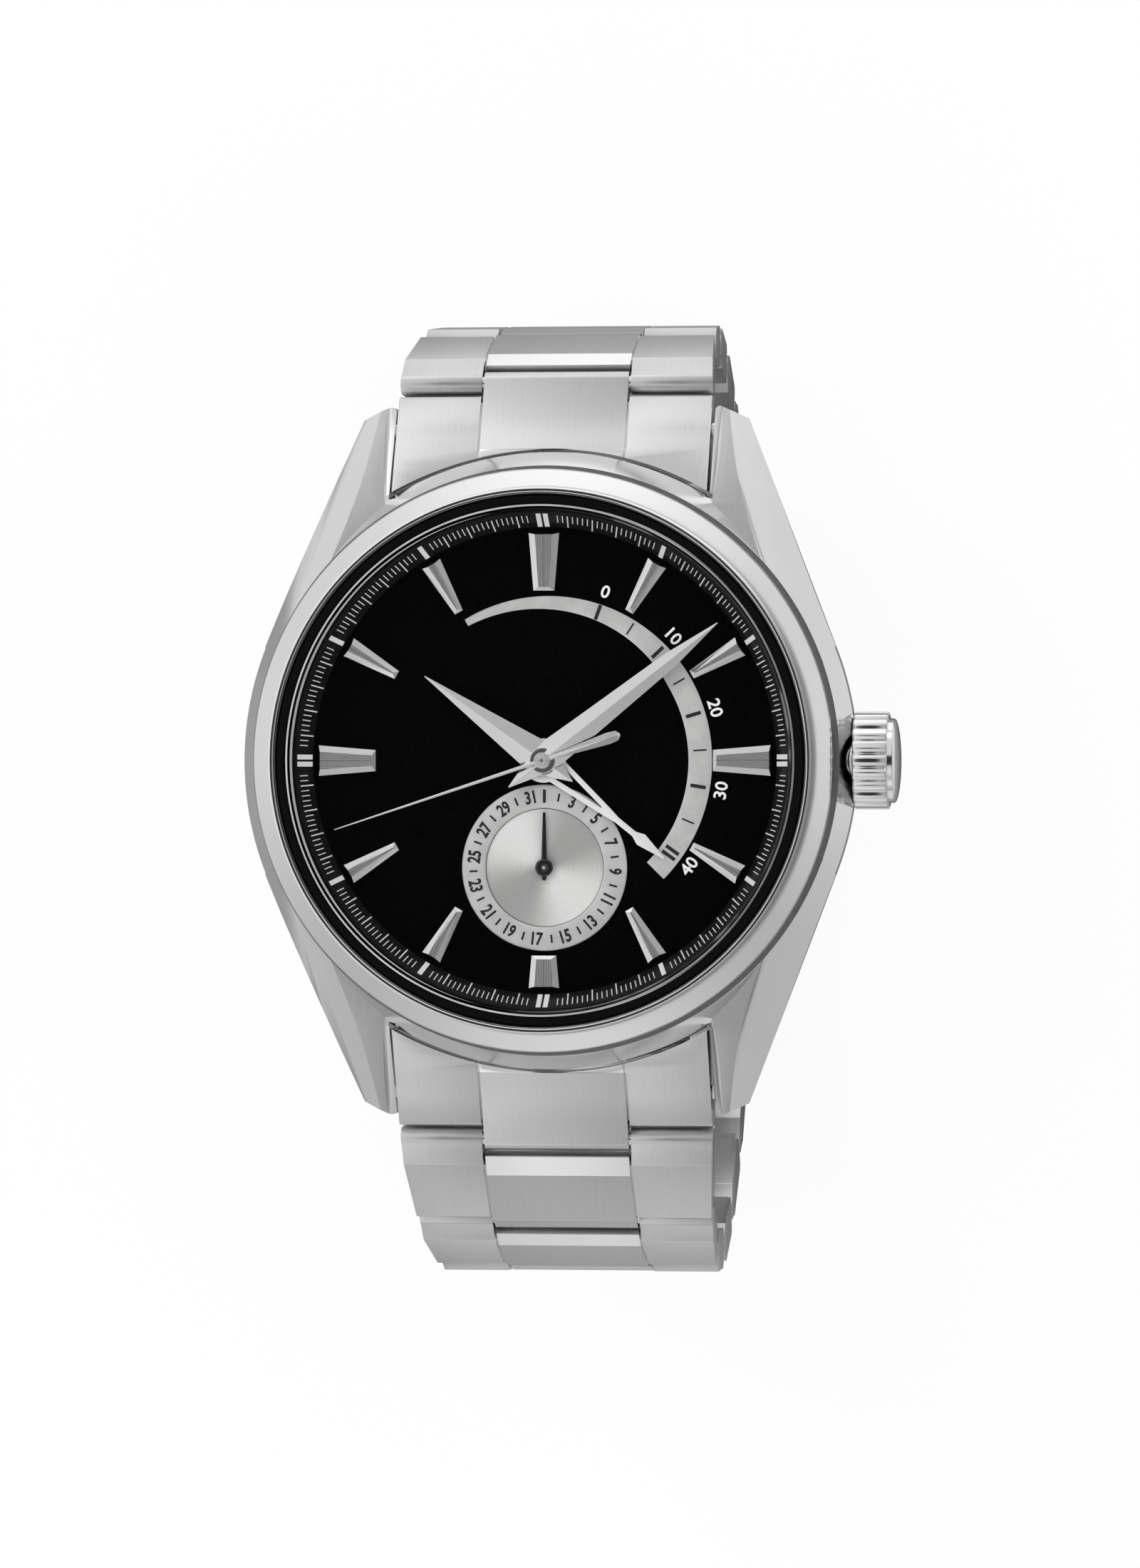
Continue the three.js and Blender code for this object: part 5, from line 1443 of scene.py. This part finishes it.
class WATCH_OT_movement(bpy.types.Operator):
    """Builds the movement's bridges, wheels, screws, jewels and oscillating weight"""

    bl_idname = "watch.movement"
    bl_label = "Movement"

    def execute(self, context):
        self.plates()
        self.screws()
        self.jewels()
        self.wheels()
        self.balance()
        self.weight()
        self.bearing()
        return {"FINISHED"}

    def plates(self):
        plate = refined("main_plate", 0.06, 2, 40)
        piece("main_plate_solid", plate, "case", [grained_plate()], ["main_plate"])
        spacer = refined("movement_spacer", 0.08, 2, 40)
        piece("movement_spacer_solid", spacer, "case", [spacer_plastic()], ["movement_spacer"])
        groove = put(tube(6.1, 6.26, 3.4, 3.85, 96), at(*BARREL))
        bores = [put(tube(0, 0.4, 3.0, 5.5, 24), at(*place)) for place in (BARREL, THIRD)]
        bridge = raised(arc(BRIDGE_RADIUS, -20.6, 200.6, 120), BRIDGE_FOOT, BRIDGE_TOP)
        bridge = softened(carved(bridge, [groove, *bores, tube(0, 1.25, 3.0, 5.5, 48)]), 0.12, 2, 50)
        reach = BRIDGE_RADIUS * 0.9155 * math.sqrt(0.5)
        legs = [put(tube(0, 0.9, 4.2, 6.35, 32), at(x, reach)) for x in (reach, -reach)]
        whole = joined(bridge, *legs)
        piece("train_bridge_solid", whole, "case", [plated_brass()], ["train_bridge"], HEAD)
        cock = refined("balance_cock", 0.1, 2, 40)
        piece("balance_cock_solid", cock, "case", [plated_brass()], ["balance_cock"])

    def screws(self):
        places = [(-11.6, 6.3, 20), (11.3, 6.4, 75), (-4.6, 12.2, 140), (5.4, 12.0, 48), (-12.9, -2.2, 100),
                  (12.9, -2.4, 10), (8.2, 1.3, 160)]
        made = [put(screw(0.72, 3.47, 3.7), at(x, y) @ clockwise(turn)) for x, y, turn in places]
        made.append(put(screw(0.95, 3.44, 3.7), at(*BARREL) @ clockwise(33)))
        piece("bridge_screws", joined(*made), "case", [polished_steel()], (), HEAD)

    def jewels(self):
        made = []
        for place in (THIRD, (7.2, 6.4), (-1.6, 8.3)):
            setting = painted(softened(tube(0.5, 0.85, 3.55, 3.7, 48), 0.04, 1), 1)
            stone = softened(tube(0.1, 0.52, 3.57, 3.72, 48), 0.05)
            made.append(put(joined(setting, stone), at(*place)))
        setting = painted(tube(0.5, 0.95, 3.83, 4.0, 48), 1)
        stone = softened(turned([(0, 3.8), (0.52, 3.85), (0.52, 4.0), (0, 4.0)], 48), 0.04)
        made.append(put(joined(setting, stone), at(*BALANCE)))
        piece("bearing_jewels", joined(*made), "case", [ruby(), gilt_brass()], (), HEAD)

    def wheels(self):
        for name, body, radius, teeth, spokes, place, low, high in (
            ("barrel", "barrel", 5.2, 84, 0, BARREL, 5.05, 6.25),
            ("third_wheel", "third", 3.6, 64, 5, THIRD, 5.75, 6.25),
        ):
            staff = tube(0, STAFF_RADIUS, 4.2, high, 24)
            whole = put(joined(wheel(radius, teeth, spokes, 2.2, low, high), staff), at(*place))
            piece(f"{name}_solid", whole, body, [gilt_brass()], [name], HEAD, 30)
        dress(gilt_brass(), "date_wheel", "seconds_wheel")

    def balance(self):
        low, high = [corner.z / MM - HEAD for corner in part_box("balance_wheel")]
        rim = softened(tube(3.4, 4.0, low + 1.0, high, 96), 0.06)
        arms = []
        for k in range(3):
            arms.append(put(block((-0.22, 0, high - 0.5), (0.22, 3.6, high - 0.1)), clockwise(k * 120)))
        staff = tube(0, STAFF_RADIUS, low, high, 24)
        collet = softened(tube(0.2, 0.6, high - 0.75, high, 32), 0.04, 1)
        points = []
        for step in range(COIL_STEPS + 1):
            turn = TURN * COIL_TURNS * step / COIL_STEPS
            reach = 0.6 + 2.3 * step / COIL_STEPS
            points.append((reach * math.cos(turn), reach * math.sin(turn)))
        outer = [tuple(Vector(point) + Vector(point).normalized() * 0.035) for point in points]
        ribbon = painted(raised([*points, *reversed(outer)], high - 0.72, high - 0.56), 1)
        whole = put(joined(rim, *arms, staff, collet, ribbon), at(*BALANCE))
        looks = [gilt_brass(), polished_steel()]
        piece("balance_solid", whole, "balance", looks, ["balance_wheel"], HEAD, 30)

    def weight(self):
        heavy = painted(softened(half_ring(11.2, 13.6, ROTOR_FOOT, ROTOR_TOP), 0.14, 3, 40), 1)
        grooves = [half_ring(8.7, 9.3, ROTOR_FOOT, 2.95), half_ring(4.2, 4.5, ROTOR_FOOT, 2.93)]
        web = carved(half_ring(0.01, 11.3, 2.85, ROTOR_TOP), [*grooves, tube(0, 1.2, 2, 5, 48)])
        middle = painted(softened(tube(1.2, 2.4, 2.7, ROTOR_TOP, 96), 0.1), 1)
        whole = joined(heavy, softened(web, 0.05, 1, 40), middle)
        looks = [plated_brass(), grained_plate()]
        piece("weight_solid", whole, "rotor", looks, ["rotor"], HEAD)

    def bearing(self):
        slot = block((-1, -0.11, 1), (1, 0.11, 2.25))
        stud = carved(softened(tube(0, 0.75, 2.1, 3.5, 48), 0.06), [slot])
        race = softened(tube(0.8, 1.42, 2.15, 2.7, 64), 0.05)
        balls = []
        for number in range(BALL_COUNT):
            ball = bmesh.new()
            bmesh.ops.create_uvsphere(ball, u_segments=16, v_segments=8, radius=0.16)
            balls.append(put(ball, clockwise(number * 360 / BALL_COUNT) @ at(0, 1.1, 2.14)))
        whole = joined(stud, race, *balls)
        piece("bearing_solid", whole, "case", [polished_steel()], ["rotor_bearing"], HEAD)


# Stage, with the photograph's own pixels for the camera

PHOTO_WIDTH = 1600
PHOTO_HEIGHT = 2200
HUB_PIXEL = (760, 1067)
PIXELS_PER_MM = 20.8
HUB_HEIGHT = 0.0567
CAMERA_DISTANCE = 0.5
CAMERA_TILT = 6.7
SENSOR = 36.0
FLOOR_HALF = 3.0
FLOOR_DROP = 0.0001
LAMPS = (
    ("key", (-0.45, 0.42, 0.62), 0.42, 1.5),
    ("fill", (0.6, -0.1, 0.5), 0.5, 0.7),
    ("front", (0.0, -0.6, 0.45), 0.5, 0.5),
)
LAMP_AIM = (0, 0, 0.045)


def floor_paper(r):
    """White paper that looks even to the camera. Steel sees it with the dark and bright bands of a studio,
    and darker near the watch, a painted shadow.
    """
    grain = r.grain((0.01, 0.01, 0.01), 2)
    paper = r.shader(r.blend(grain, (0.93, 0.93, 0.93), (0.95, 0.95, 0.95)), roughness=0.9)
    path = r.add("ShaderNodeLightPath", output="Is Camera Ray")
    glossy = path.also("Is Glossy Ray")
    flat = r.vector("MULTIPLY", r.place(), (1, 1, 0))
    way = r.parts(r.vector("NORMALIZE", flat))
    north = way.also("Y")
    double = north * north - way * way
    distance = r.vector("LENGTH", flat, output="Value")
    outer = distance.spread(10, 50)
    around = 0.74 + (north * 0.185 + double * 0.095 + (double * double * 2 - 1) * 0.0975) * outer
    # Near the watch the paper is darker for glossy rays: a painted shadow of the watch that steel reflects
    near = 0.48 - north * outer * 0.14
    around = around * (near + (1 - near) * distance.spread(66, 80)) * distance.spread(24, 52, 0.3, 1.0)
    level = glossy * (around - 1) + 1
    glow = r.add("ShaderNodeEmission", values={"Color": (1, 1, 1, 1), "Strength": level})
    share = (path.most(path.also("Is Transmission Ray")) * 0.88).most(glossy)
    above = r.add("ShaderNodeMixShader", values={0: share, 1: paper, 2: glow})
    below = r.add("ShaderNodeNewGeometry", output="Backfacing")
    unseen = r.add("ShaderNodeBsdfTransparent")
    r.finish(r.add("ShaderNodeMixShader", values={0: below, 1: above, 2: unseen}))


def studio_sky(r):
    """A soft tent with bright strips to the north and south, and a dark hole where the camera stands."""
    way = r.add("ShaderNodeTexCoord", output="Generated")
    x = r.parts(way)
    y = x.also("Y")
    height = x.also("Z")
    stops = [(0.0, 0.7), (0.49, 0.6), (0.54, 0.45), (0.62, 0.75), (0.72, 0.62), (0.85, 0.6), (0.95, 0.62),
             (1.0, 0.6)]
    tent = r.add("ShaderNodeValToRGB", {"stops": stops}, {0: height * 0.5 + 0.5})
    strip = y.spread(0.45, 0.8, 0.0, 0.8) * height.spread(0.02, 0.14) * height.spread(0.5, 0.34)
    front = y.spread(-0.3, -0.5, 0.0, 0.35) * height.spread(0.72, 0.84)
    south = y.spread(-0.4, -0.75, 0.0, 0.5) * height.spread(0.28, 0.38) * height.spread(0.62, 0.5)
    west = x * (height.spread(0.82, 0.93) * -0.7 - 0.6)
    side = west + y * 0.22 + 1.0 + strip + front + south
    hole = r.vector("DOT_PRODUCT", way, (-0.11, 0.0, 0.994), output="Value")
    seen = tent * side * hole.spread(0.96, 0.984, 1.0, 0.03)
    path = r.add("ShaderNodeLightPath", output="Is Camera Ray")
    glossy = path.also("Is Glossy Ray")
    straight = path.most(path.also("Is Transmission Ray"))
    plain = (1 - glossy) * 0.9
    level = straight + (1 - straight) * (glossy * seen + plain)
    background = r.add("ShaderNodeBackground", values={"Strength": level, "Color": (1, 1, 1, 1)})
    r.add("ShaderNodeOutputWorld", values={"Surface": background})


class WATCH_OT_stage(bpy.types.Operator):
    """Sets the floor, the soft studio light and the camera"""

    bl_idname = "watch.stage"
    bl_label = "Stage"

    def execute(self, context):
        self.floor()
        self.world(context.scene)
        self.lamps()
        self.camera(context.scene)
        context.scene.view_settings.view_transform = "Standard"
        return {"FINISHED"}

    def floor(self):
        shape = bmesh.new()
        bmesh.ops.create_grid(shape, x_segments=1, y_segments=1, size=FLOOR_HALF)
        mesh = as_mesh("studio_floor", shape)
        mesh.materials.append(look("studio floor", floor_paper))
        obj = shown("studio_floor", mesh)
        obj.location.z = -FLOOR_DROP

    def world(self, scene):
        world = bpy.data.worlds.new("studio")
        world.use_nodes = True
        scene.world = world
        studio_sky(Recipe(world.node_tree))

    def lamps(self):
        for name, place, size, power in LAMPS:
            lamp = bpy.data.lights.new(name, "AREA")
            lamp.size = size
            lamp.energy = power
            obj = shown(name, lamp)
            obj.location = place
            aim = Vector(LAMP_AIM) - Vector(place)
            obj.rotation_euler = aim.to_track_quat("-Z", "Y").to_euler()
            obj.visible_glossy = False

    def camera(self, scene):
        scale = PIXELS_PER_MM / MM
        lens = bpy.data.cameras.new("camera")
        lens.sensor_fit = "AUTO"
        lens.sensor_width = SENSOR
        lens.lens = scale * CAMERA_DISTANCE * SENSOR / PHOTO_HEIGHT
        lens.clip_start = 0.01
        side = math.radians(CAMERA_TILT)
        right, down = PHOTO_WIDTH / 2 - HUB_PIXEL[0], PHOTO_HEIGHT / 2 - HUB_PIXEL[1]
        shift = Vector((right / scale, -down / scale, HUB_HEIGHT))
        away = Vector((math.sin(side), 0, math.cos(side)))
        obj = shown("camera", lens)
        obj.location = shift + away * CAMERA_DISTANCE
        obj.rotation_euler = (0, side, 0)
        scene.camera = obj


# Panel and running

OPERATORS = (
    WATCH_OT_case,
    WATCH_OT_crystal,
    WATCH_OT_dial,
    WATCH_OT_hands,
    WATCH_OT_crown,
    WATCH_OT_bracelet,
    WATCH_OT_clasp,
    WATCH_OT_back,
    WATCH_OT_movement,
    WATCH_OT_stage,
)


class WATCH_PT_panel(bpy.types.Panel):
    """Lists the steps that build the watch and its settings"""

    bl_label = "Watch"
    bl_idname = "WATCH_PT_panel"
    bl_space_type = "VIEW_3D"
    bl_region_type = "UI"
    bl_category = "Watch"

    def draw(self, context):
        for operator in OPERATORS:
            self.layout.operator(operator.bl_idname)
        for group in (context.scene.watch_sizes, context.scene.watch_colours):
            for name in group.__annotations__:
                self.layout.prop(group, name)


CLASSES = (WatchSizes, WatchColours, *OPERATORS, WATCH_PT_panel)


def register():
    for made in CLASSES:
        bpy.utils.register_class(made)
    bpy.types.Scene.watch_sizes = PointerProperty(type=WatchSizes)
    bpy.types.Scene.watch_colours = PointerProperty(type=WatchColours)


def unregister():
    del bpy.types.Scene.watch_colours
    del bpy.types.Scene.watch_sizes
    for made in reversed(CLASSES):
        bpy.utils.unregister_class(made)


def main():
    register()
    bpy.ops.watch.case()
    bpy.ops.watch.crystal()
    bpy.ops.watch.dial()
    bpy.ops.watch.hands()
    bpy.ops.watch.crown()
    bpy.ops.watch.bracelet()
    bpy.ops.watch.clasp()
    bpy.ops.watch.back()
    bpy.ops.watch.movement()
    bpy.ops.watch.stage()


if __name__ == "__main__":
    main()
